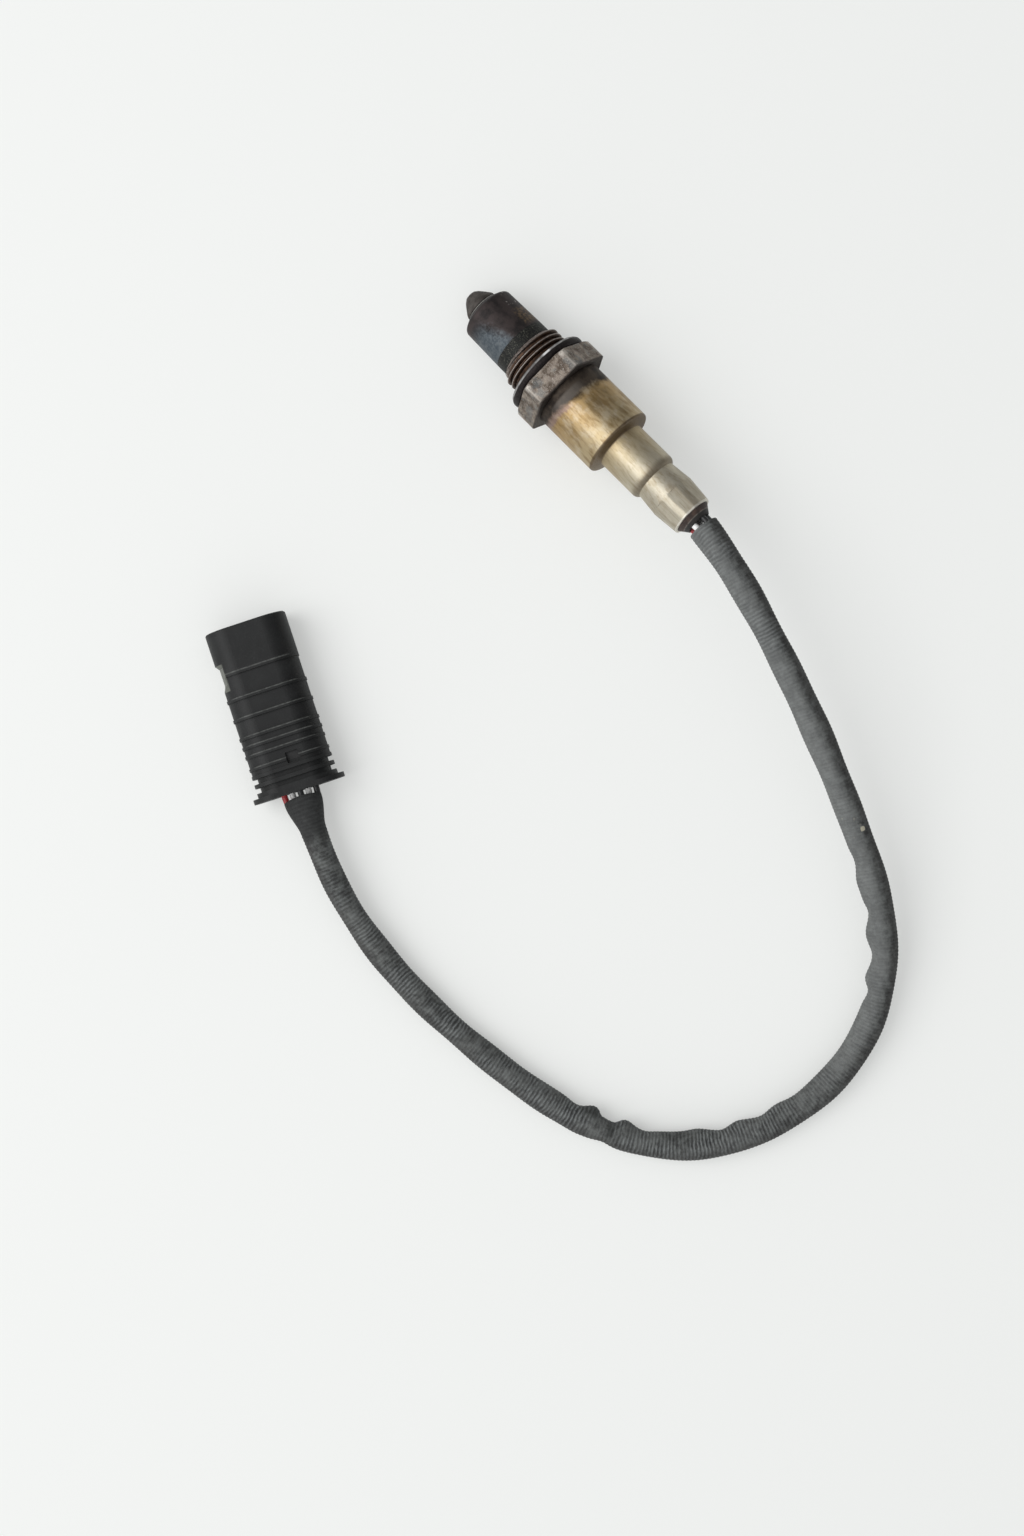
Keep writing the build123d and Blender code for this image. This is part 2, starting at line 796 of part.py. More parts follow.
with BuildPart() as rear_cap:
    with BuildSketch(plug_section(0)):
        RectangleRounded(plug_width, plug_height, plug_round)
    extrude(amount=cap_length)
    with BuildSketch(plug_section(0)):
        RectangleRounded(cap_flange_width, plug_height, plug_round)
    extrude(amount=cap_flange_thickness)
    for groove in range(2):
        with BuildSketch(plug_section(2 * cap_flange_thickness + groove * cap_groove_spacing)):
            RectangleRounded(plug_width, plug_height, plug_round)
            RectangleRounded(
                plug_width - 2 * cap_groove_depth,
                plug_height - 2 * cap_groove_depth,
                plug_round - cap_groove_depth,
                mode=Mode.SUBTRACT,
            )
        extrude(amount=cap_groove_width, mode=Mode.SUBTRACT)
    with BuildSketch(plug_section(cap_length)):
        RectangleRounded(
            chamber_width - 2 * slip_gap, chamber_height - 2 * slip_gap, chamber_round - slip_gap
        )
    extrude(amount=cap_spigot_length)
    with BuildSketch(plug_section(0)):
        with GridLocations(terminal_spacing, 1, len(wires), 1):
            Circle(wire_radius)
    extrude(amount=cap_length + cap_spigot_length, mode=Mode.SUBTRACT)
keep("rear_cap", rear_cap.part)

with BuildPart() as wire_seal:
    with BuildSketch(plug_section(seal_at)):
        RectangleRounded(
            chamber_width - 2 * press_gap, chamber_height - 2 * press_gap, chamber_round - press_gap
        )
        with GridLocations(terminal_spacing, 1, len(wires), 1):
            Circle(wire_radius, mode=Mode.SUBTRACT)
    extrude(amount=seal_length)
keep("wire_seal", wire_seal.part)

with BuildPart() as terminal_carrier:
    with BuildSketch(plug_section(carrier_at)):
        RectangleRounded(
            chamber_width - 2 * slip_gap, chamber_height - 2 * slip_gap, chamber_round - slip_gap
        )
        with GridLocations(terminal_spacing, 1, len(wires), 1):
            Rectangle(terminal_width + slip_gap, terminal_height + slip_gap, mode=Mode.SUBTRACT)
    extrude(amount=carrier_length)
keep("terminal_carrier", terminal_carrier.part)

terminal_end_at = partition_at - terminal_stop_gap
terminal_body_at = terminal_barrel_at + terminal_barrel_length
for colour, *_, row_place in wires:
    across_row = -row_place * terminal_spacing
    with BuildPart() as terminal:
        with BuildSketch(plug_section(terminal_barrel_at)):
            with Locations((across_row, 0)):
                Circle(terminal_barrel_radius)
                Circle(wire_radius, mode=Mode.SUBTRACT)
        extrude(amount=terminal_barrel_length)
        with BuildSketch(plug_section(terminal_body_at)):
            with Locations((across_row, 0)):
                Rectangle(terminal_width, terminal_height)
        extrude(amount=terminal_end_at - terminal_body_at)
        with BuildSketch(plug_section(terminal_end_at)):
            with Locations((across_row, 0)):
                Rectangle(pin_width, pin_thickness)
        extrude(amount=plug_length - pin_recess - terminal_end_at)
    keep(f"terminal_{colour}", terminal.part)

print("pitch", round(math.degrees(pitch), 3), "nose at", round(nose_x, 2), round(nose_z, 2))
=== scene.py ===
"""The looks of a used oxygen sensor with its sleeved harness and plug.

Metres, in the frame of the CAD part: +Z up, the floor at z = 0, the sensor's nose to +X. Sizes are
in millimetres unless they are said to be in metres. A name that ends in _AT is a distance along the
sensor from the tip of its nose. A place along the harness is a distance from the end of its sleeve
at the sensor.
"""

import json
import math

import bmesh
import bpy
import numpy as np
from mathutils import Matrix, Vector, noise


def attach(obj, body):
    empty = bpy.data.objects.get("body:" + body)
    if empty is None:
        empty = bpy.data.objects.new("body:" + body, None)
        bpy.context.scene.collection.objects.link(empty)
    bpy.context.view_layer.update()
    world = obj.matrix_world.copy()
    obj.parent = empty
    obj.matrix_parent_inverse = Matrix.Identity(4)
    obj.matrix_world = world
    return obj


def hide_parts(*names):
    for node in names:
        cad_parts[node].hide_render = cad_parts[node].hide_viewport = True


MM = 0.001

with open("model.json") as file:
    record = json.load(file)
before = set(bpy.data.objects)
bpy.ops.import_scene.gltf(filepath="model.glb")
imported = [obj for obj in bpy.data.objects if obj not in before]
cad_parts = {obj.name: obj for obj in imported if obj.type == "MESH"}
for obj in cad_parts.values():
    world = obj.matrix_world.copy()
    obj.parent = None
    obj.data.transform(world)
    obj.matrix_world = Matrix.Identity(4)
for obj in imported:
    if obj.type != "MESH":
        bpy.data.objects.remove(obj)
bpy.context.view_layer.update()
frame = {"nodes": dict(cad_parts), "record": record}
nodes = frame["nodes"]
mounts = {mount["name"]: mount for mount in frame["record"]["mounts"]}

# -------- places

THREAD_MOUNT_AT = 24.125
fore = Vector(mounts["thread"]["axis"]).normalized()
aft = -fore
side = Vector((0, 1, 0))
up = side.cross(aft)
nose = Vector(mounts["thread"]["pos_m"]) + fore * THREAD_MOUNT_AT * MM

RIM_AT = 4.65
SHOULDER_AT = 6.15
SPIGOT_AT = 18.8
THREAD_AT = 21.4
THREAD_END_AT = 25.895
NECK_AT = 26.5
RING_AT = 27.3
SEAT_AT = 29.9
HEX_END_AT = 36.1
COLLAR_END_AT = 40.5
STAGE_1_END_AT = 54.15
STAGE_2_END_AT = 67.2
WAIST_AT = 68.0
CRIMP_AT = 74.1
SWELL_AT = 74.3
SLEEVE_END_AT = 81.1
HARNESS_AT = 84.4

THREAD_RADIUS = 8.95
THREAD_PITCH = 1.5
THREAD_END_ANGLE = math.radians(252)
HEX_ACROSS_FLATS = 22.0
HEX_CORNER_RADIUS = 12.6
HEX_ROLL = math.radians(8)

HARNESS_LENGTH = 336.7
RIB_PITCH = 0.95

PLUG_REAR = Vector((-19.5, 118.4, 6.75)) * MM
PLUG_HEADING = math.radians(-25.5)
plug_way = Vector((math.cos(PLUG_HEADING), math.sin(PLUG_HEADING), 0))
plug_left = Vector((-plug_way.y, plug_way.x, 0))
PLUG_GAP = 2.0
LAST_RUN = 15.5
# The plug's ribs, as distances from its rear.
RIB_PLACES = (33.2, 26.7, 21.6, 16.7, 14.3, 11.9, 8.6)


def on_sensor(distance, to_side=0.0, high=0.0):
    """A point by its distance from the nose, its offset to +Y and its height above the axis."""
    return nose + (aft * distance + side * to_side + up * high) * MM


# -------- meshes


def in_scene(name, data):
    """A new object of the scene, from its mesh, curve, lamp or camera."""
    piece = bpy.data.objects.new(name, data)
    bpy.context.scene.collection.objects.link(piece)
    return piece


def mesh_piece(name, points, faces, sharp_angle=35.0):
    """A piece from points in metres. Edges that bend more than the angle are sharp."""
    mesh = bpy.data.meshes.new(name)
    mesh.from_pydata([tuple(point) for point in points], [], faces)
    work = bmesh.new()
    work.from_mesh(mesh)
    bmesh.ops.recalc_face_normals(work, faces=work.faces)
    limit = math.radians(sharp_angle)
    for face in work.faces:
        face.smooth = True
    for edge in work.edges:
        edge.smooth = edge.calc_face_angle(0.0) < limit
    work.to_mesh(mesh)
    work.free()
    return in_scene(name, mesh)


def band_faces(first, second, columns):
    """The faces between two rings of points that start at these indices."""
    ends = [(k, (k + 1) % columns) for k in range(columns)]
    return [(first + k, first + m, second + m, second + k) for k, m in ends]


def tube_faces(rows, columns, first=0):
    """The faces of a grid of points that closes around but not from end to end."""
    faces = []
    for row in range(rows - 1):
        start = first + row * columns
        faces += band_faces(start, start + columns, columns)
    return faces


def joined(piece, other):
    """The piece with the other one's mesh added to its own."""
    work = bmesh.new()
    work.from_mesh(piece.data)
    work.from_mesh(other.data)
    work.to_mesh(piece.data)
    work.free()
    bpy.data.objects.remove(other)
    return piece


def turned(name, outline, columns=128, shape=None, first_angle=0.0):
    """A piece of revolution about the sensor's axis, from a closed outline of distances and radii.

    shape(distance, radius, angle) may give a point another radius.
    """
    points = []
    for distance, radius in outline:
        for k in range(columns):
            angle = first_angle + 2 * math.pi * k / columns
            reach = shape(distance, radius, angle) if shape else radius
            points.append(on_sensor(distance, reach * math.cos(angle), reach * math.sin(angle)))
    rows = len(outline)
    faces = tube_faces(rows, columns) + band_faces((rows - 1) * columns, 0, columns)
    return mesh_piece(name, points, faces)


def filled(outline, step):
    """The outline with points added so that no straight stretch is longer than the step."""
    result = []
    for (d0, r0), (d1, r1) in zip(outline, outline[1:] + outline[:1]):
        parts = max(1, math.ceil(math.hypot(d1 - d0, r1 - r0) / step))
        result += [
            (d0 + (d1 - d0) * i / parts, r0 + (r1 - r0) * i / parts) for i in range(parts)
        ]
    return result


def rounded(outline, radius, steps=3):
    """The outline with each corner in radius, by its index, rounded by an arc."""
    result = []
    for i, corner in enumerate(outline):
        if i not in radius:
            result.append(corner)
            continue
        here = Vector(corner)
        before = (Vector(outline[i - 1]) - here).normalized()
        after = (Vector(outline[(i + 1) % len(outline)]) - here).normalized()
        half = before.angle(after) / 2
        cut = radius[i] / math.tan(half)
        middle = here + (before + after).normalized() * radius[i] / math.sin(half)
        start = here + before * cut - middle
        end = here + after * cut - middle
        for k in range(steps + 1):
            way = start.normalized().slerp(end.normalized(), k / steps)
            result.append(tuple(middle + way * radius[i]))
    return result


def ragged(distance, reach, angle, scale, seed=0.0):
    """Smooth noise between -1 and 1 at a place on the sensor, its lumps 1/scale mm across."""
    place = on_sensor(distance, reach * math.cos(angle), reach * math.sin(angle))
    return noise.noise(place / MM * scale + Vector((seed, 0.0, 0.0)))


# -------- node trees


class Value:
    """A socket in a node tree. Sums on values add Math nodes to the tree."""

    def __init__(self, tree, socket):
        self.tree = tree
        self.socket = socket

    def math(self, operation, *values):
        return self.tree.node("ShaderNodeMath", {"operation": operation}, values)

    def __add__(self, other):
        return self.math("ADD", self, other)

    def __sub__(self, other):
        return self.math("SUBTRACT", self, other)

    def __rsub__(self, other):
        return self.math("SUBTRACT", other, self)

    def __mul__(self, other):
        return self.math("MULTIPLY", self, other)

    def __truediv__(self, other):
        return self.math("DIVIDE", self, other)

    __radd__ = __add__
    __rmul__ = __mul__

    def cosine(self):
        return self.math("COSINE", self)

    def most(self, other):
        return self.math("MAXIMUM", self, other)

    def size(self):
        """Its size without its sign."""
        return self.math("ABSOLUTE", self)

    def rise(self, low, high):
        """0 at low and 1 at high, with a smooth rise between them."""
        settings = {"interpolation_type": "SMOOTHSTEP"}
        inputs = {"Value": self, "From Min": low, "From Max": high}
        return self.tree.node("ShaderNodeMapRange", settings, inputs)

    def band(self, low, high, soft):
        """1 between low and high, falling to 0 over soft on each side."""
        return self.rise(low - soft, low) * (1 - self.rise(high, high + soft))

    def sibling(self, output):
        """Another output of the same node."""
        return Value(self.tree, self.socket.node.outputs[output])


class Tree:
    """A node tree in the making."""

    def __init__(self, tree):
        self.tree = tree

    def node(self, kind, settings=None, inputs=(), output=0):
        """Add a node: its settings first, then the values or links of its sockets."""
        made = self.tree.nodes.new(kind)
        for name, value in (settings or {}).items():
            setattr(made, name, value)
        pairs = inputs.items() if isinstance(inputs, dict) else enumerate(inputs)
        for socket, value in pairs:
            if isinstance(value, Value):
                self.tree.links.new(value.socket, made.inputs[socket])
            else:
                made.inputs[socket].default_value = value
        return Value(self, made.outputs[output])


class Growth(Tree):
    """A Geometry Nodes tree that grows a mesh, with named inputs for its sizes."""

    def __init__(self, name, sizes):
        super().__init__(bpy.data.node_groups.new(name, "GeometryNodeTree"))
        sockets = self.tree.interface
        for way in ("INPUT", "OUTPUT"):
            sockets.new_socket("Geometry", in_out=way, socket_type="NodeSocketGeometry")
        self.sizes = {}
        for size, value in sizes.items():
            kind = "NodeSocketInt" if isinstance(value, int) else "NodeSocketFloat"
            socket = sockets.new_socket(size, in_out="INPUT", socket_type=kind)
            self.sizes[socket.identifier] = value
        self.entry = self.tree.nodes.new("NodeGroupInput")

    def given(self, name):
        """One of the tree's inputs."""
        return Value(self, self.entry.outputs[name])

    def grow(self, name, source, result, slot):
        """The plain mesh that the tree makes from the source mesh, as a new piece."""
        real = self.node("GeometryNodeRealizeInstances", {}, [result])
        inputs = {"Geometry": real, "Material": finishes[slot]}
        dressed = self.node("GeometryNodeSetMaterial", {}, inputs)
        exit_node = self.tree.nodes.new("NodeGroupOutput")
        self.tree.links.new(dressed.socket, exit_node.inputs["Geometry"])
        holder = in_scene(name, source)
        modifier = holder.modifiers.new(name, "NODES")
        modifier.node_group = self.tree
        for identifier, value in self.sizes.items():
            modifier[identifier] = value
        graph = bpy.context.evaluated_depsgraph_get()
        mesh = bpy.data.meshes.new_from_object(
            holder.evaluated_get(graph), preserve_all_data_layers=True, depsgraph=graph
        )
        bpy.data.objects.remove(holder)
        return in_scene(name, mesh)


class Finish(Tree):
    """A material in the making: a Principled shader and what feeds it."""

    def __init__(self, name, colour, roughness=0.5, metallic=0.0, shine=0.5):
        self.material = bpy.data.materials.new(name)
        self.material.use_nodes = True
        super().__init__(self.material.node_tree)
        self.colour = colour
        self.shader = next(n for n in self.tree.nodes if n.type == "BSDF_PRINCIPLED")
        sockets = ("Base Color", "Roughness", "Metallic", "Specular IOR Level")
        for socket, value in zip(sockets, (colour, roughness, metallic, shine)):
            self.shader.inputs[socket].default_value = value

    def vector_maths(self, operation, *values, output=0):
        return self.node("ShaderNodeVectorMath", {"operation": operation}, values, output)

    def place(self):
        """Object coordinates in millimetres."""
        metres = self.node("ShaderNodeTexCoord", output="Object")
        return self.vector_maths("MULTIPLY", metres, (1000.0, 1000.0, 1000.0))

    def along(self, start, way):
        """The distance from a point in metres, along a direction."""
        offset = self.vector_maths("SUBTRACT", self.place(), start / MM)
        return self.vector_maths("DOT_PRODUCT", offset, way, output="Value")

    def on_sensor(self):
        """The distance from the tip of the nose, and the offset to +Y."""
        return self.along(nose, aft), self.along(nose, side)

    def reach(self):
        """The distance from the sensor's axis."""
        offset = self.vector_maths("SUBTRACT", self.place(), nose / MM)
        square = self.vector_maths("CROSS_PRODUCT", offset, aft)
        return self.vector_maths("LENGTH", square, output="Value")

    def noise(self, scale, detail=3.0, roughness=0.55, stretch=None, at=None):
        """Noise about 0.5, with features 1/scale mm across, longer where stretch is below 1."""
        place = at or self.place()
        if stretch:
            place = self.vector_maths("MULTIPLY", place, stretch)
        inputs = {"Vector": place, "Scale": scale, "Detail": detail, "Roughness": roughness}
        return self.node("ShaderNodeTexNoise", {}, inputs)

    def specks(self, scale, share, at=None):
        """1 in small round specks, one to a cell 1/scale mm across, and only in this share."""
        inputs = {"Vector": at or self.place(), "Scale": scale}
        near = self.node("ShaderNodeTexVoronoi", {}, inputs)
        red = self.node("ShaderNodeSeparateColor", {}, [near.sibling("Color")])
        return (1 - near.rise(0.1, 0.32)) * (1 - red.rise(share, share + 0.02))

    def mixed(self, share, low, high):
        """A colour between two colours."""
        settings = {"data_type": "RGBA", "clamp_factor": True}
        return self.node("ShaderNodeMix", settings, {0: share, 6: low, 7: high}, 2)

    def paint(self, share, colour):
        """Lay a coat over the colour so far, as thick as its share."""
        self.colour = self.mixed(share, self.colour, colour)

    def done(self, height, relief, roughness=None):
        """The material, with its colour and with relief of this many millimetres."""
        inputs = {"Height": height, "Distance": relief * MM}
        feeds = {"Base Color": self.colour, "Normal": self.node("ShaderNodeBump", {}, inputs)}
        if roughness:
            feeds["Roughness"] = roughness
        for socket, value in feeds.items():
            self.tree.links.new(value.socket, self.shader.inputs[socket])
        return self.material


def rgb(red, green, blue):
    """A colour from its 0 to 255 sRGB values."""
    parts = [c / 255 for c in (red, green, blue)]
    linear = [c / 12.92 if c < 0.04045 else ((c + 0.055) / 1.055) ** 2.4 for c in parts]
    return (*linear, 1.0)


# -------- finishes


def burnt_tube_finish():
    """Steel blackened by exhaust heat, with a bared blue-grey patch low on its left."""
    finish = Finish("burnt_tube", rgb(38, 34, 34), metallic=0.5, shine=0.3)
    along, across = finish.on_sensor()
    cloud = finish.noise(0.35, 4)
    fleck = finish.noise(1.2, 4, 0.75)
    grain = finish.noise(3.0, 4, 0.7)
    finish.paint(cloud.rise(0.35, 0.65), rgb(62, 54, 53))
    tan = along.band(13.2, 16.4, 1.8) * across.band(-6.8, -4.8, 1.4)
    finish.paint(tan * fleck.rise(0.4, 0.62) * 0.75, rgb(122, 102, 78))
    upper_edge = across + along * 0.3 + (cloud - 0.5) * 5.0 + (fleck - 0.5) * 3.0
    behind = (along + (fleck - 0.5) * 0.5).rise(18.0, 18.3)
    bared = upper_edge.rise(5.6, 8.6) * along.rise(7.0, 12.5) * (1 - behind)
    blue = finish.mixed(fleck.rise(0.35, 0.7), rgb(70, 80, 88), rgb(106, 113, 117))
    finish.paint(bared * 0.85, blue)
    flecked = finish.mixed(grain.rise(0.52, 0.66), rgb(27, 28, 27), rgb(92, 94, 84))
    finish.paint(behind * 0.9, flecked)
    scale = along.band(6.5, 10.0, 1.0) * across.band(-6.2, -5.0, 1.0)
    finish.paint(finish.specks(1.0, 0.9) * scale * 0.9, rgb(206, 200, 194))
    finish.paint(grain.rise(0.5, 0.78) * 0.25, rgb(104, 98, 92))
    # A paler band at the rim.
    pale_rim = 1 - along.rise(RIM_AT + 0.15, RIM_AT + 0.35)
    finish.paint(pale_rim * 0.9, rgb(184, 182, 174))
    return finish.done(grain, 0.03, 0.42 + grain * 0.3)


def nose_finish():
    """Steel scaled brown by the exhaust, with painted shade, black, in the crease at the outer
    tube's rim.
    """
    finish = Finish("burnt_nose", rgb(62, 57, 54), metallic=0.4, shine=0.3)
    grain = finish.noise(2.4, 4, 0.7)
    cloud = finish.noise(0.5, 3)
    finish.paint(cloud.rise(0.35, 0.7), rgb(86, 81, 77))
    finish.paint(grain.rise(0.5, 0.75) * 0.4, rgb(116, 108, 100))
    # Painted shade: black in the crease at the outer tube's rim.
    rim_crease_shade = finish.along(nose, aft).rise(RIM_AT - 0.7, RIM_AT - 0.2)
    finish.paint(rim_crease_shade * 0.8, rgb(24, 22, 21))
    return finish.done(grain, 0.04, 0.5 + grain * 0.3)


def housing_finish():
    """Worn steel: rusty thread grooves under grey crests, and a mottled hexagon."""
    finish = Finish("housing_steel", rgb(88, 77, 67), metallic=0.65)
    along, across = finish.on_sensor()
    reach = finish.reach()
    cloud = finish.noise(0.45, 4, 0.65)
    fleck = finish.noise(1.1, 5, 0.7)
    grain = finish.noise(2.8, 5, 0.75)
    blue = finish.noise(0.33, 3, 0.5)
    scratch = finish.noise(0.8, 2, 0.5, stretch=(0.6, 3.4, 3.4))
    finish.paint(cloud.rise(0.38, 0.62), rgb(144, 133, 122))
    finish.paint(blue.rise(0.52, 0.62) * 0.4, rgb(100, 110, 114))
    finish.paint(fleck.rise(0.5, 0.66) * 0.6, rgb(76, 60, 50))
    finish.paint(grain.rise(0.56, 0.72) * 0.5, rgb(176, 168, 158))
    finish.paint(scratch.band(0.58, 0.592, 0.006) * 0.7, rgb(200, 194, 184))
    # Worn hexagon corners, lightened also as a painted highlight, most at the front edge.
    corner = reach.rise(12.0, 12.4) * grain.rise(0.3, 0.6)
    front_share = 1 - along.rise(SEAT_AT + 0.7, SEAT_AT + 2.7) * 0.75
    finish.paint(corner * front_share * 0.8, rgb(214, 208, 200))
    # Painted highlight: a thin bright line along the hexagon's corners.
    finish.paint(reach.rise(12.4, 12.55) * 0.4, rgb(196, 188, 178))
    finish.paint(along.rise(HEX_END_AT - 0.6, HEX_END_AT - 0.2) * 0.85, rgb(52, 46, 42))
    rusty = finish.mixed(fleck.rise(0.35, 0.65), rgb(44, 32, 26), rgb(88, 64, 47))
    crest = finish.mixed(grain.rise(0.35, 0.65), rgb(112, 102, 96), rgb(176, 168, 162))
    on_crest = reach.rise(THREAD_RADIUS - 0.13, THREAD_RADIUS)
    first_turn = 1 - along.rise(THREAD_AT + 0.7, THREAD_AT + 1.3)
    # Painted highlight: a glint on the thread's crests on the lit side.
    glint_spot = on_crest * along.band(21.8, 23.2, 0.3) * across.band(4.9, 6.0, 0.6)
    thread_colour = finish.mixed(on_crest, rusty, crest)
    thread_colour = finish.mixed(first_turn * grain.rise(0.3, 0.6) * 0.75, thread_colour, crest)
    bright = glint_spot * grain.rise(0.25, 0.5) * 0.9
    thread_colour = finish.mixed(bright, thread_colour, rgb(236, 232, 228))
    finish.paint(along.band(THREAD_AT - 0.1, NECK_AT + 0.4, 0.1), thread_colour)
    finish.paint(along.band(NECK_AT + 0.4, SEAT_AT - 0.1, 0.2) * 0.9, rgb(34, 30, 28))
    return finish.done(grain, 0.05, 0.4 + grain * 0.3)


def ring_finish():
    """Sheet steel, blackened and darker still as painted shade, with a painted highlight along its
    front edge.
    """
    # Blackened steel, darker still as painted shade.
    finish = Finish("ring_steel", rgb(26, 22, 22), metallic=0.6, shine=0.3)
    along, across = finish.on_sensor()
    grain = finish.noise(2.2, 4, 0.65)
    fleck = finish.noise(0.7, 3, 0.6)
    finish.paint(grain.rise(0.35, 0.7), rgb(50, 43, 42))
    # Painted highlight along the ring's front edge.
    edge = along.band(RING_AT + 0.45, RING_AT + 0.8, 0.22)
    finish.paint(edge * (0.35 + fleck.rise(0.35, 0.6) * 0.5) * 0.85, rgb(186, 184, 182))
    # Painted highlight: a glint on the front edge.
    glint_spot = along.band(RING_AT + 0.4, RING_AT + 0.85, 0.2) * across.band(-2.4, -1.2, 1.0)
    finish.paint(glint_spot * 0.9, rgb(244, 242, 240))
    return finish.done(grain, 0.04, 0.35 + grain * 0.35)


def sleeve_finish():
    """Stainless sleeve: burnt beside the hexagon, straw-tinted, then paler to the rear."""
    finish = Finish("sleeve_steel", rgb(168, 141, 98), metallic=0.85)
    along, across = finish.on_sensor()
    cloud = finish.noise(0.25, 4, 0.6)
    smudge = finish.noise(0.5, 4, 0.6, stretch=(0.4, 1.5, 1.5))
    streak = finish.noise(0.8, 4, 0.65, stretch=(0.12, 2.6, 2.6))
    grain = finish.noise(4.0, 4, 0.7)
    finish.paint(along.rise(41.0, 54.0), rgb(180, 163, 130))
    finish.paint(along.rise(54.0, 66.0), rgb(186, 177, 156))
    finish.paint(along.rise(66.5, 72.0), rgb(180, 173, 156))
    finish.paint(cloud.rise(0.48, 0.66) * 0.35, rgb(206, 199, 183))
    stage_1 = 1 - along.rise(STAGE_1_END_AT - 0.15, STAGE_1_END_AT + 1.35)
    finish.paint(smudge.rise(0.46, 0.66) * (0.25 + stage_1 * 0.35), rgb(124, 98, 58))
    # Two darker lengthwise bands on the first stage, towards -Y.
    dark_lengthwise_bands = across.band(-6.5, -5.4, 0.8) + across.band(-2.6, 0.0, 0.9)
    dark_lengthwise_bands = dark_lengthwise_bands * along.band(44.0, 52.5, 1.5) * (0.35 + smudge.rise(0.4, 0.6) * 0.5)
    finish.paint(dark_lengthwise_bands * 0.5, rgb(112, 92, 56))
    finish.paint(streak.rise(0.48, 0.7) * 0.4, rgb(124, 104, 74))
    # Painted shade and dark reflection on the rounded shoulder behind the first stage, with some
    # tarnish.
    shoulder = along.band(STAGE_1_END_AT + 0.05, STAGE_1_END_AT + 1.05, 0.4)
    finish.paint(shoulder * 0.75, rgb(78, 62, 48))
    # Painted shade, with some tarnish, on the rounded end of the second stage before the waist.
    waist = along.rise(STAGE_2_END_AT - 1.8, STAGE_2_END_AT + 0.2)
    waist = waist * (1 - along.rise(WAIST_AT - 0.1, WAIST_AT + 0.1))
    finish.paint(waist * 0.6, rgb(88, 74, 56))
    rear_edge = along.rise(SLEEVE_END_AT - 0.6, SLEEVE_END_AT - 0.3)
    finish.paint(rear_edge * 0.6, rgb(230, 226, 216))
    edge = along + across.most(0.0) * 0.3 + (cloud - 0.5) * 4.0 + (grain - 0.5) * 0.8
    violet = edge.band(41.0, 42.6, 1.0) * across.rise(1.0, 5.0)
    finish.paint(violet * 0.5, rgb(122, 104, 120))
    burnt = finish.mixed(cloud.rise(0.4, 0.65), rgb(44, 38, 34), rgb(78, 69, 60))
    burnt = finish.mixed(grain.rise(0.55, 0.8) * 0.4, burnt, rgb(120, 108, 94))
    lit = along.band(38.6, 40.2, 0.8) * across.band(-1.0, 5.0, 3.0)
    burnt = finish.mixed(lit * 0.45, burnt, rgb(118, 112, 106))
    heat = 1 - edge.rise(40.6, 42.6)
    finish.paint(heat, burnt)
    return finish.done(grain + streak, 0.02, 0.38 + grain * 0.14 + heat * 0.15)


def rubber_finish(name, colour, light):
    """Rubber or dull plastic, with a little bloom and dust."""
    finish = Finish(name, colour)
    cloud = finish.noise(0.8, 4, 0.6)
    grain = finish.noise(6.0, 3)
    finish.paint(cloud.rise(0.4, 0.75), light)
    return finish.done(grain, 0.02, 0.5 + grain * 0.2)


def grommet_finish():
    """Rubber, browned beside the steel sleeve and black behind a thin pale line."""
    finish = Finish("grommet_rubber", rgb(48, 35, 30))
    behind_sleeve = finish.along(nose, aft) - SLEEVE_END_AT
    cloud = finish.noise(0.8, 4, 0.6)
    grain = finish.noise(6.0, 3)
    finish.paint(cloud.rise(0.4, 0.75), rgb(76, 58, 49))
    finish.paint(behind_sleeve.rise(1.2, 1.4), rgb(34, 31, 29))
    # A thin pale line where the brown gives way to black.
    pale_line = behind_sleeve.band(1.2, 1.35, 0.12) * cloud.rise(0.35, 0.55)
    finish.paint(pale_line * 0.5, rgb(126, 120, 112))
    return finish.done(grain, 0.02, 0.5 + grain * 0.2)


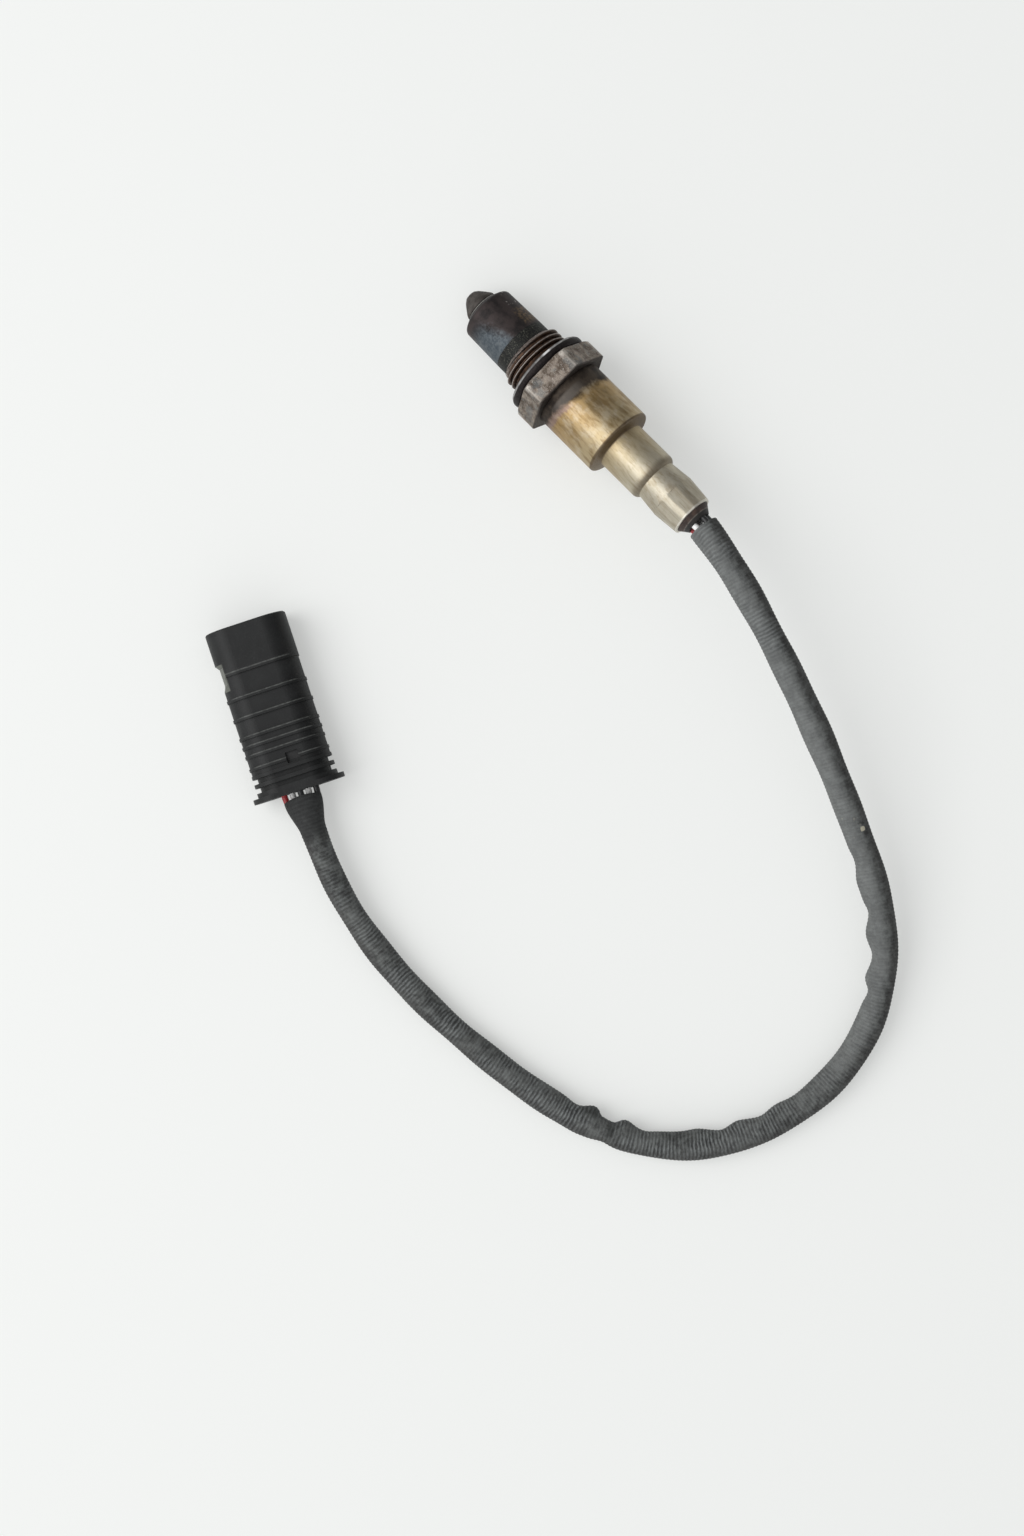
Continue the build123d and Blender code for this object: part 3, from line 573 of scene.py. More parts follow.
def sleeving_finish():
    """Dark grey ribbed sleeving, mottled with dust, with painted light and shade on its sides,
    folds and ribs, those of the ribs faint after the first bend.
    """
    finish = Finish("harness_sleeving", rgb(58, 59, 58), roughness=0.7, shine=0.35)
    unbent = finish.node("ShaderNodeAttribute", {"attribute_name": "unbent"}, output="Vector")
    to_right = finish.node("ShaderNodeSeparateXYZ", {}, [unbent])
    along = to_right.sibling("Z")
    patches = finish.noise(0.14, 4, 0.6, at=unbent)
    mottle = finish.noise(0.55, 5, 0.7, at=unbent)
    fibres = finish.noise(1.0, 3, 0.65, stretch=(0.9, 0.9, 4.5), at=unbent)
    grain = finish.noise(4.0, 3, 0.7, at=unbent)
    finish.paint(patches.rise(0.35, 0.65), rgb(84, 85, 83))
    finish.paint(mottle.rise(0.42, 0.68) * 0.55, rgb(116, 119, 117))
    finish.paint((1 - mottle).rise(0.48, 0.68) * 0.6, rgb(36, 36, 35))
    before_bend = 1 - along.rise(140.0, 180.0)
    # Painted light: the inner side, towards the lamp, lighter up to the bend.
    painted_lit_side = to_right.rise(-2.0, 1.2) * before_bend
    finish.paint(painted_lit_side * 0.45, rgb(128, 130, 129))

    # How strongly the ribs' painted light and shade show: patchy, faint after the first bend and
    # near the plug.
    ribbed = 0.3 + finish.noise(0.11, 2, 0.5, at=unbent).rise(0.38, 0.6) * 0.7
    ribbed = ribbed * (0.6 + along.rise(150.0, 185.0) * 0.4)
    ribbed = ribbed * (1 - along.band(55.0, 145.0, 25.0) * 0.75)
    ribbed = ribbed * (1 - along.rise(285.0, 320.0) * 0.6)
    shifted = along + (patches - 0.5) * 2.0
    wave = (shifted * (2 * math.pi / RIB_PITCH)).cosine() * 0.5 + 0.5
    # Painted highlights on the rib crests and painted shade in the grooves between them.
    finish.paint(wave * fibres.rise(0.33, 0.6) * ribbed * 0.62, rgb(142, 146, 146))
    finish.paint((1 - wave) * ribbed * 0.45, rgb(36, 36, 37))

    # Painted shade on the outer side, away from the lamp.
    painted_shaded_side = 1 - to_right.rise(-2.9, -0.5)
    finish.paint(painted_shaded_side * 0.5, rgb(36, 32, 31))
    finish.paint(grain.rise(0.6, 0.72) * 0.4, rgb(140, 141, 136))
    scuff = along.band(85.5, 85.9, 0.8) * to_right.band(-1.4, -1.0, 0.8)
    scuff = (scuff + (grain - 0.5) * 0.9).rise(0.45, 0.6)
    finish.paint(scuff * 0.8, rgb(196, 190, 168))
    specks = along.band(80.0, 87.0, 2.0) * finish.specks(0.8, 0.3, at=unbent)
    finish.paint(specks * 0.4, rgb(150, 148, 138))
    # Painted shade on the humps' inner sides and in a crease beside them.
    fold = along.band(223.0, 226.5, 1.5) * to_right.rise(1.0, 3.0)
    fold = fold.most(along.band(217.4, 218.4, 0.8) * to_right.rise(-2.5, 0.5))
    finish.paint(fold * 0.6, rgb(38, 40, 38))
    near_plug = along.rise(HARNESS_LENGTH - 13.0, HARNESS_LENGTH - 8.0)
    finish.paint(near_plug * 0.8, rgb(32, 33, 33))
    return finish.done(fibres + mottle, 0.12)


def plug_finish():
    """Black moulded plastic with dust and a painted highlight along its ribs' edges, and a paler
    notch face.
    """
    finish = Finish("plug_plastic", rgb(12, 13, 13), shine=0.35)
    along = finish.along(PLUG_REAR, plug_way)
    left = finish.along(PLUG_REAR, plug_left)
    grain = finish.noise(5.0, 3, 0.6)
    cloud = finish.noise(0.25, 4, 0.6)
    fleck = finish.noise(0.9, 5, 0.7)
    scuff = finish.noise(1.6, 5, 0.75, stretch=(0.6, 2.2, 1.0))
    finish.paint(cloud.rise(0.35, 0.75), rgb(22, 23, 23))
    finish.paint(scuff.rise(0.62, 0.78) * 0.3, rgb(112, 114, 112))
    # Dust and a painted highlight along the ribs' front edges.
    edges = sum(along.band(place + 0.25, place + 0.45, 0.15) for place in RIB_PLACES)
    rib_dust_and_highlight = edges * (1 - left.size().rise(7.5, 9.5)) * (0.3 + fleck.rise(0.35, 0.65) * 0.7)
    finish.paint(rib_dust_and_highlight * 0.42, rgb(128, 130, 126))
    finish.paint(grain.rise(0.6, 0.72) * 0.25, rgb(104, 106, 104))
    # A paler face on the notch.
    notch = along.band(29.4, 36.2, 0.2) * left.rise(8.1, 8.6)
    finish.paint(notch * 0.45, rgb(134, 136, 126))
    return finish.done(grain, 0.02, 0.4 + grain * 0.25)


def insulation_finish(name, colour, dirt):
    """Extruded wire insulation, handled."""
    finish = Finish(name, colour, roughness=0.38)
    cloud = finish.noise(0.9, 4, 0.6)
    finish.paint(cloud.rise(0.5, 0.8) * 0.5, dirt)
    return finish.done(cloud, 0.01)


def ceramic_finish(name, colour, light):
    """Sintered ceramic or pressed powder."""
    finish = Finish(name, colour, roughness=0.8)
    grain = finish.noise(4.0, 4, 0.7)
    finish.paint(grain.rise(0.35, 0.7), light)
    return finish.done(grain, 0.03)


def bare_metal_finish(name, colour, light, roughness):
    """Clean pressed metal."""
    finish = Finish(name, colour, metallic=0.95)
    grain = finish.noise(3.0, 4, 0.6)
    finish.paint(grain.rise(0.3, 0.7), light)
    return finish.done(grain, 0.01, roughness - 0.08 + grain * 0.16)


# Name, colour, the colour of its lighter or dirtier spots, and for metals the roughness.
RUBBERS = (
    ("seal_rubber", rgb(14, 14, 14), rgb(26, 25, 25)),
    ("carrier_plastic", rgb(122, 124, 124), rgb(150, 152, 150)),
)
CERAMICS = (
    ("ceramic", rgb(226, 222, 208), rgb(238, 236, 228)),
    ("talc", rgb(206, 206, 200), rgb(224, 224, 220)),
    ("element_ceramic", rgb(214, 208, 190), rgb(228, 224, 212)),
)
BARE_METALS = (
    ("spring_steel", rgb(188, 188, 184), rgb(206, 206, 202), 0.3),
    ("contact_metal", rgb(198, 190, 168), rgb(212, 206, 190), 0.25),
    ("terminal_metal", rgb(206, 204, 196), rgb(222, 220, 214), 0.22),
)
INSULATIONS = (
    ("wire_white", rgb(248, 248, 246), rgb(226, 220, 210)),
    ("wire_black", rgb(30, 30, 31), rgb(58, 56, 54)),
    ("wire_grey", rgb(76, 78, 78), rgb(98, 96, 92)),
    ("wire_red", rgb(168, 38, 44), rgb(120, 40, 40)),
)

finishes = {
    "burnt_tube": burnt_tube_finish(),
    "burnt_nose": nose_finish(),
    "housing_steel": housing_finish(),
    "ring_steel": ring_finish(),
    "sleeve_steel": sleeve_finish(),
    "grommet_rubber": grommet_finish(),
    "harness_sleeving": sleeving_finish(),
    "plug_plastic": plug_finish(),
    **{row[0]: rubber_finish(*row) for row in RUBBERS},
    **{row[0]: ceramic_finish(*row) for row in CERAMICS},
    **{row[0]: bare_metal_finish(*row) for row in BARE_METALS},
    **{row[0]: insulation_finish(*row) for row in INSULATIONS},
}

for part in frame["record"]["subparts"]:
    data = nodes[part["node"]].data
    data.materials.clear()
    data.materials.append(finishes[part["material_slot"]])


def dress(piece, slot, *replaced):
    """Give a piece its finish, put it on the part and let it stand for CAD nodes."""
    piece.data.materials.clear()
    piece.data.materials.append(finishes[slot])
    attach(piece, "root")
    if replaced:
        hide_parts(*replaced)
    return piece


# -------- the metal body


def outer_tube():
    """The blackened cup, with a soft shoulder and a thin rim."""
    mouth, rim, shoulder, tube, sheet = 4.57, 4.88, 7.36, 7.65, 0.5
    outside = [(RIM_AT, rim), (SHOULDER_AT, shoulder), (SPIGOT_AT, tube), (THREAD_AT, tube)]
    inside = [(THREAD_AT, tube - sheet), (SPIGOT_AT, tube - sheet)]
    inside += [(SHOULDER_AT + 0.28, shoulder - sheet), (RIM_AT + 0.2, mouth)]
    roundings = {1: 0.1, 2: 1.1, 4: 0.12}
    outline = rounded([(RIM_AT, mouth), *outside, *inside], roundings, steps=6)
    piece = turned("heat_blackened_tube", filled(outline, 1.2))
    return dress(piece, "burnt_tube", "outer_protection_tube")


def scaled_nose():
    """The crust of burnt scale that makes a dome of the inner tube's cone."""
    tip = [(-0.02, 0.65), (-0.08, 0.75), (-0.08, 1.2), (0.15, 1.85), (0.5, 2.3), (1.0, 2.7)]
    flank = [(2.0, 3.42), (3.0, 4.12), (3.6, 4.46), (5.3, 4.48)]
    inside = [(5.3, 4.37), (3.5, 4.37), (-0.02, 1.72)]
    roundings = {2: 0.2, 3: 0.4, 4: 0.6, 5: 1.0, 6: 1.5, 7: 1.5, 8: 0.8}
    outline = rounded(tip + flank + inside, roundings, steps=4)

    def shape(distance, radius, angle):
        if radius < 1.3 or distance > 4.0:
            return radius
        return radius + max(0.0, ragged(distance, 4.0, angle, 0.9)) * 0.08

    return dress(turned("scaled_nose", outline, 96, shape), "burnt_nose")


def hex_radius(angle):
    """The hexagon's outline, with its corners worn a little round."""
    flat = math.radians(60)
    # The top flat's middle stands at 90 degrees, less the roll, from +Y.
    off = (angle - math.radians(90) + HEX_ROLL + flat / 2) % flat - flat / 2
    return min(HEX_ACROSS_FLATS / 2 / math.cos(off), HEX_CORNER_RADIUS)


def thread_ridge():
    """The M18 x 1.5 right-handed ridge, grown along a helix that sinks in at both ends."""
    length = THREAD_END_AT - THREAD_AT - 0.5
    height = 1.0
    sizes = {
        "Turns": length / THREAD_PITCH,
        "Middle radius": (THREAD_RADIUS - height / 2) * MM,
        "Length": length * MM,
        "Height": height * MM,
        "Root width": 1.36 * MM,
        "Crest width": 0.2 * MM,
        "Points per turn": 96,
    }
    tree = Growth("thread_ridge", sizes)
    inputs = {
        "Resolution": tree.given("Points per turn"),
        "Rotations": tree.given("Turns"),
        "Start Radius": tree.given("Middle radius"),
        "End Radius": tree.given("Middle radius"),
        "Height": tree.given("Length"),
    }
    helix = tree.node("GeometryNodeCurveSpiral", {}, inputs)
    level = tree.node("GeometryNodeSetCurveNormal", {"mode": "Z_UP"}, [helix])
    inputs = {
        "Height": tree.given("Height"),
        "Bottom Width": tree.given("Root width"),
        "Top Width": tree.given("Crest width"),
        "Offset": 0.0,
    }
    settings = {"mode": "TRAPEZOID"}
    tooth = tree.node("GeometryNodeCurvePrimitiveQuadrilateral", settings, inputs)
    inputs = {"Geometry": tooth, "Rotation": (0.0, 0.0, math.pi / 2)}
    turned_tooth = tree.node("GeometryNodeTransform", {}, inputs)
    share = tree.node("GeometryNodeSplineParameter")
    full = share.rise(0.0, 0.08) * (1 - share.rise(0.86, 1.0))
    inputs = {"Curve": level, "Profile Curve": turned_tooth, "Scale": full * 0.95 + 0.05}
    ridge = tree.node("GeometryNodeCurveToMesh", {}, inputs)
    turn = Matrix.Rotation(THREAD_END_ANGLE, 3, fore)
    rotation = Matrix((turn @ side, turn @ up, fore)).transposed().to_euler()
    start = on_sensor(THREAD_END_AT)
    inputs = {"Geometry": ridge, "Translation": start, "Rotation": rotation}
    placed = tree.node("GeometryNodeTransform", {}, inputs)
    return tree.grow("thread_ridge", bpy.data.meshes.new("seed"), placed, "housing_steel")


def steel_housing():
    """Threaded shank, neck, hexagon and collar, with the bore that holds the ceramics."""
    spigot, root, neck, collar = 7.13, 8.05, 8.3, 8.98
    lip, chamber, front_bore, recess = 5.5, 6.5, 5.0, 6.22
    lip_at = COLLAR_END_AT - 1.4
    step_at = SEAT_AT - 1.4
    recess_end_at = SPIGOT_AT + 1.0
    shank = [(SPIGOT_AT, recess), (SPIGOT_AT, spigot), (THREAD_AT, spigot), (THREAD_AT, 7.75)]
    shank += [(THREAD_AT + 0.35, root), (NECK_AT - 0.5, root), (NECK_AT, neck), (SEAT_AT, neck)]
    head = [(SEAT_AT, 11.7), (SEAT_AT + 0.55, HEX_CORNER_RADIUS), (HEX_END_AT, 12.7)]
    head += [(HEX_END_AT, collar), (COLLAR_END_AT, collar)]
    bore = [(COLLAR_END_AT, lip), (lip_at, lip), (lip_at, chamber), (step_at, chamber)]
    bore += [(step_at, front_bore), (recess_end_at, front_bore), (recess_end_at, recess)]
    outline = rounded(shank + head + bore, {3: 0.12, 10: 0.25, 12: 0.5})

    def shape(distance, radius, angle):
        if radius < 9.0 or not SEAT_AT <= distance <= HEX_END_AT:
            return radius
        edge = min(distance - SEAT_AT, HEX_END_AT - distance)
        limit = hex_radius(angle) - 0.2 * max(0.0, 1 - edge / 0.2) ** 2
        return min(radius, limit) + min(0.0, ragged(distance, 12.0, angle, 0.6)) * 0.12

    shell = turned("steel_housing", filled(outline, 0.5), 144, shape, -HEX_ROLL)
    return dress(joined(shell, thread_ridge()), "housing_steel", "housing")


def folded_ring():
    """The captive ring: sheet folded to a C, open inwards."""
    mouth, rim, sheet = 8.55, 11.6, 0.6
    rear_at = SEAT_AT - 0.01
    fold, rear_fold = RING_AT + sheet, SEAT_AT - sheet
    outside = [(RING_AT, mouth), (RING_AT, rim), (rear_at, rim), (rear_at, mouth)]
    inside = [(rear_fold, mouth), (rear_fold, rim - sheet), (fold, rim - sheet), (fold, mouth)]
    outline = rounded(outside + inside, {1: 1.2, 2: 1.2, 5: 0.6, 6: 0.6}, steps=8)

    def shape(distance, radius, angle):
        return radius + min(0.0, ragged(distance, 11.0, angle, 0.35, seed=7.0)) * 0.15

    return dress(turned("folded_ring", outline, 144, shape), "ring_steel", "sealing_ring")


def crimped_sleeve():
    """The steel sleeve in three stages, with eight flats pressed into its rear."""
    stage_1, stage_2, waist, swell, end, wall = 9.6, 6.65, 5.65, 6.3, 5.65, 0.6
    first_flats, last_flats = 6.12, 5.5
    front_at = HEX_END_AT + 0.02
    outside = [(front_at, stage_1), (STAGE_1_END_AT + 0.4, stage_1)]
    outside += [(STAGE_1_END_AT + 1.0, stage_2), (STAGE_2_END_AT, stage_2)]
    outside += [(WAIST_AT, waist), (SWELL_AT, swell), (SLEEVE_END_AT, end)]
    inside = [(SLEEVE_END_AT, end - wall), (SWELL_AT, swell - wall)]
    inside += [(WAIST_AT - 0.3, waist - wall), (STAGE_2_END_AT - 0.3, stage_2 - wall)]
    inside += [(STAGE_1_END_AT + 0.7 - wall, stage_2 - wall)]
    inside += [(STAGE_1_END_AT - wall, stage_1 - wall), (front_at, stage_1 - wall)]
    roundings = {0: 0.1, 1: 0.6, 2: 0.3, 3: 1.6, 4: 0.12, 5: 3.0, 6: 0.2, 12: 0.6}
    outline = rounded(outside + inside, roundings, steps=6)

    def shape(distance, radius, angle):
        if radius < 5.3 or distance < CRIMP_AT:
            return radius
        share = (distance - CRIMP_AT) / (SLEEVE_END_AT - CRIMP_AT)
        flat = math.radians(45)
        off = (angle + flat / 2) % flat - flat / 2
        half_across = first_flats + (last_flats - first_flats) * share
        return min(radius, half_across / math.cos(off))

    piece = turned("crimped_sleeve", filled(outline, 0.6), 160, shape)
    return dress(piece, "sleeve_steel", "protective_sleeve")


outer_tube()
scaled_nose()
steel_housing()
folded_ring()
crimped_sleeve()

# -------- the harness's line

# The corners of the harness's route between the sensor's rear and the plug.
ROUTE_CORNERS = (
    (-53.1, 1.5, 24.1), (-75.8, 7.4, 23.4), (-99.8, 14.8, 19.6),
    (-126.5, 24.8, 13.9), (-143.8, 33.3, 10.0), (-155.4, 42.8, 7.4),
    (-163.4, 55.2, 5.4), (-167.2, 70.6, 4.2), (-165.8, 87.4, 3.8),
    (-158.4, 105.1, 3.8), (-143.5, 119.6, 3.8), (-122.1, 128.0, 3.8),
    (-93.6, 132.4, 3.8), (-71.0, 133.3, 4.1), (-51.6, 131.0, 5.2),
)

route = [on_sensor(HARNESS_AT)]
route += [Vector(corner) * MM for corner in ROUTE_CORNERS]
route.append(PLUG_REAR - plug_way * (PLUG_GAP + LAST_RUN) * MM)
route.append(PLUG_REAR - plug_way * PLUG_GAP * MM)


def smooth_line(points):
    """The points of a NURBS line with these control points, close together."""
    data = bpy.data.curves.new("harness_line", "CURVE")
    data.dimensions = "3D"
    data.resolution_u = 24
    spline = data.splines.new("NURBS")
    spline.points.add(len(points) - 1)
    for control, point in zip(spline.points, points):
        control.co = (*point, 1.0)
    spline.order_u = 3
    spline.use_endpoint_u = True
    holder = in_scene("harness_line", data)
    mesh = bpy.data.meshes.new_from_object(holder)
    line = np.array([tuple(vertex.co) for vertex in mesh.vertices])
    bpy.data.objects.remove(holder)
    bpy.data.meshes.remove(mesh)
    return line


class Line:
    """A line through points in metres, read by the distance along it."""

    def __init__(self, points):
        self.points = np.asarray(points)
        steps = np.linalg.norm(np.diff(self.points, axis=0), axis=1)
        self.reach = np.concatenate([[0.0], np.cumsum(steps)]) / MM
        self.length = self.reach[-1]

    def at(self, distances):
        """The points at these distances."""
        return np.stack([np.interp(distances, self.reach, axis) for axis in self.points.T], 1)

    def frames(self, distances):
        """At these distances: the points, and the directions to the right and up."""
        middle = self.at(distances)
        way = self.at(np.add(distances, 0.6)) - self.at(np.subtract(distances, 0.6))
        way /= np.linalg.norm(way, axis=1)[:, None]
        right = np.cross(way, (0.0, 0.0, 1.0))
        right /= np.linalg.norm(right, axis=1)[:, None]
        return middle, right, np.cross(right, way)


# The wires' line runs on past the sleeving, and past the wires, at both ends.
WIRES_AT = 50.0
WIRES_IN_PLUG = 24.0
before_line = [tuple(on_sensor(d)) for d in np.arange(WIRES_AT, HARNESS_AT, 2.0)]
after_line = [tuple(PLUG_REAR + plug_way * d * MM) for d in np.arange(0.0, WIRES_IN_PLUG, 2.0)]
harness_line = Line(smooth_line(route))
wires_line = Line(np.vstack([before_line, harness_line.points, after_line]))


def eased(share):
    """The share between 0 and 1, eased in and out."""
    share = np.clip(share, 0, 1)
    return share * share * (3 - 2 * share)


# -------- the ribbed sleeving

SLEEVING_START = 0.5
SLEEVING_WALL = 0.45
SLEEVING_COLUMNS = 28
FLARE_LENGTH = 9.0
FLARE_SPREAD = 0.48
FLARE_DROP = 0.1
FLARE_ARCH = 0.8

# The place along the sleeving and its radius there, without its ribs.
PLAIN_RADII = ((0, 3.8), (12, 3.52), (160, 3.55), (310, 3.2))

# How far round a kink reaches, in radians.
KINK_TURN = 0.75
# Creases and humps of the sleeving: the place along it, the angle round it in degrees (0 to the
# right of the way it runs, 90 on top), the reach along it and how far it stands out.
KINKS = (
    (94.4, 8, 3.0, -0.9), (99.5, 5, 2.6, 0.25), (108.3, 5, 2.4, -0.85),
    (113.9, 5, 2.9, 0.75), (120.3, 5, 2.4, -0.85), (126.2, 5, 2.4, 0.9),
    (130.6, 5, 2.0, -0.7), (171.0, 0, 3.2, 0.6), (176.5, 0, 2.4, -0.5),
    (183.0, 0, 2.8, 0.75), (188.0, 0, 2.4, -0.5), (194.5, 0, 3.0, 0.55),
    (208.5, 0, 2.6, -0.5), (214.3, 15, 2.4, 1.1), (217.2, 10, 1.0, -0.5),
    (218.6, 10, 2.0, -0.8), (218.6, 180, 2.4, -0.6), (221.2, 10, 1.0, -0.5),
    (223.8, 15, 2.6, 1.6), (226.0, 190, 4.0, 0.4), (228.6, 10, 2.4, -0.5),
)


def line_mesh():
    """The harness's line as edges that carry the tube's plain radius and its share of ribbing."""
    mesh = bpy.data.meshes.new("harness_line")
    points = harness_line.points
    mesh.from_pydata(points.tolist(), [(i, i + 1) for i in range(len(points) - 1)], [])
    before_flare = harness_line.reach <= harness_line.length - FLARE_LENGTH
    radii = np.interp(harness_line.reach, *zip(*PLAIN_RADII))
    for name, values in (("ribbing", before_flare), ("plain_radius", radii * MM)):
        attribute = mesh.attributes.new(name, "FLOAT", "POINT")
        attribute.data.foreach_set("value", values.astype(np.float32))
    return mesh


def ribbed_tube():
    """The sleeving's outside, grown along the harness's line with one rib to a pitch."""
    sizes = {
        "Rib pitch": RIB_PITCH * MM,
        "Rib height": 0.12 * MM,
        "Rows per rib": 4,
        "Columns": SLEEVING_COLUMNS,
    }
    tree = Growth("ribbed_tube", sizes)
    line = tree.node("GeometryNodeMeshToCurve", {}, [tree.given("Geometry")])
    spacing = tree.given("Rib pitch") / tree.given("Rows per rib")
    inputs = {"Curve": line, "Length": spacing}
    even = tree.node("GeometryNodeResampleCurve", {"mode": "LENGTH"}, inputs)
    level = tree.node("GeometryNodeSetCurveNormal", {"mode": "Z_UP"}, [even])
    along = tree.node("GeometryNodeSplineParameter", output="Length")
    inputs = {"Geometry": level, "Name": "along", "Value": along}
    level = tree.node("GeometryNodeStoreNamedAttribute", {"domain": "POINT"}, inputs)
    wave = (along / tree.given("Rib pitch") * (2 * math.pi)).cosine() * 0.5 + 0.5
    ribbing, plain_radius = (
        tree.node("GeometryNodeInputNamedAttribute", {}, {"Name": name})
        for name in ("ribbing", "plain_radius")
    )
    inputs = {"Resolution": tree.given("Columns"), "Radius": 1.0}
    circle = tree.node("GeometryNodeCurvePrimitiveCircle", {}, inputs)
    radius = plain_radius + ribbing * wave * tree.given("Rib height")
    inputs = {"Curve": level, "Profile Curve": circle, "Scale": radius}
    tube = tree.node("GeometryNodeCurveToMesh", {}, inputs)
    return tree.grow("ribbed_sleeving", line_mesh(), tube, "harness_sleeving")


def tube_rows():
    """The ribbed tube's points in metres, row by row, and their places along it."""
    tube = ribbed_tube()
    count = len(tube.data.vertices)
    along = np.empty(count, dtype=np.float32)
    tube.data.attributes["along"].data.foreach_get("value", along)
    points = np.empty(count * 3)
    tube.data.vertices.foreach_get("co", points)
    bpy.data.objects.remove(tube)
    along = along / MM
    kept = along >= SLEEVING_START
    return points.reshape(-1, 3)[kept], along[kept]


def creased(along, round_it):
    """How far the kinks and a slight waviness push the surface out."""
    push = np.zeros(len(along))
    for place, angle, reach, height in KINKS:
        turn = (round_it - math.radians(angle) + math.pi) % (2 * math.pi) - math.pi
        push += height * np.exp(-(((along - place) / reach) ** 2) - (turn / KINK_TURN) ** 2)
    return push + 0.12 * np.sin(along / 7.3) + 0.1 * np.sin(along / 3.1 + 1.0)


def flared(along, round_it, radius):
    """Points of the sleeving at a radius, spread flat and arched out towards the plug."""
    middle, right, high = harness_line.frames(along)
    flare = eased((along - harness_line.length + FLARE_LENGTH) / FLARE_LENGTH)
    to_right = radius * np.cos(round_it) * (1 + FLARE_SPREAD * flare)
    above = radius * np.sin(round_it) * (1 - FLARE_DROP * flare)
    onwards = FLARE_ARCH * flare ** 8 * np.sin(round_it) ** 2
    way = np.cross(high, right)
    offset = to_right[:, None] * right + above[:, None] * high + onwards[:, None] * way
    return middle + offset * MM


def sleeving():
    """The ribbed tube with its kinks, its flat flare at the plug and its inner wall."""
    points, along = tube_rows()
    middle, right, high = harness_line.frames(along)
    offset = (points - middle) / MM
    to_right = (offset * right).sum(1)
    above = (offset * high).sum(1)
    round_it = np.arctan2(above, to_right)
    radius = np.hypot(to_right, above) + creased(along, round_it)
    unbent = np.stack([radius * np.cos(round_it), radius * np.sin(round_it), along], 1)

    # The inner wall has a point for those of every eighth row and of the last one.
    grid = np.arange(len(along)).reshape(-1, SLEEVING_COLUMNS)
    inside = np.vstack([grid[:-1:8], grid[-1:]])
    outer = flared(along, round_it, radius)
    inner = flared(along, round_it, radius - SLEEVING_WALL)[inside.ravel()]
    faces = tube_faces(len(grid), SLEEVING_COLUMNS)
    faces += tube_faces(len(inside), SLEEVING_COLUMNS, grid.size)
    faces += band_faces(0, grid.size, SLEEVING_COLUMNS)
    last_outer = grid.size - SLEEVING_COLUMNS
    faces += band_faces(last_outer, last_outer + inside.size, SLEEVING_COLUMNS)
    piece = mesh_piece("ribbed_sleeving", np.vstack([outer, inner]), faces, 80.0)
    attribute = piece.data.attributes.new("unbent", "FLOAT_VECTOR", "POINT")
    attribute.data.foreach_set("vector", np.vstack([unbent, unbent[inside.ravel()]]).ravel())
    return dress(piece, "harness_sleeving", "harness_sleeve")


# -------- the wires

WIRE_RADIUS = 0.8
WIRE_SIDES = 16
GROMMET_CIRCLE = 2.4
BUNDLE_CIRCLE = 1.8
TWIST = math.radians(158)
FAN_LENGTH = 8.0
ROW_PITCH = 2.1
CONTACT_AT = 54.7
TERMINAL_GAP = 4.0

# Colour, angle in the grommet in degrees, offsets in mid-flare, place in the plug's row.
WIRES = (
    ("white_a", 50, (1.3, -1.0), 1),
    ("black", 122, (3.3, -0.6), 2),
    ("grey", 194, (0.4, 1.2), 0),
    ("white_b", 266, (-1.6, 0.6), -1),
    ("red", 338, (-3.5, 0.0), -2),
)


def smoothed(values):
    """The values, each as the mean of itself and its two neighbours on each side."""
    result = values.copy()
    result[2:-2] = np.convolve(values, np.ones(5) / 5, "valid")
    return result


def wire_offsets(along, first_angle, mid_flare, place):
    """A wire's offsets to the right of the harness's line and above it.

    It turns with the others in the sleeving, and fans out to its place in the plug's row.
    """
    length = harness_line.length
    fan = length - FAN_LENGTH
    first_angle = math.radians(first_angle)
    angle = first_angle - TWIST * np.clip(along / fan, 0, 1)
    radius = GROMMET_CIRCLE - (GROMMET_CIRCLE - BUNDLE_CIRCLE) * eased((along - 0.5) / 10.0)
    keys = (fan, length - 4.0, length + PLUG_GAP - 1.2, length + PLUG_GAP)
    last_angle = first_angle - TWIST
    in_row = place * ROW_PITCH
    rights = (BUNDLE_CIRCLE * math.cos(last_angle), mid_flare[0], in_row, in_row)
    ups = (BUNDLE_CIRCLE * math.sin(last_angle), mid_flare[1], 0.0, 0.0)
    fanned = along > fan
    to_right = np.where(fanned, np.interp(along, keys, rights), radius * np.cos(angle))
    above = np.where(fanned, np.interp(along, keys, ups), radius * np.sin(angle))
    return smoothed(to_right), smoothed(above)


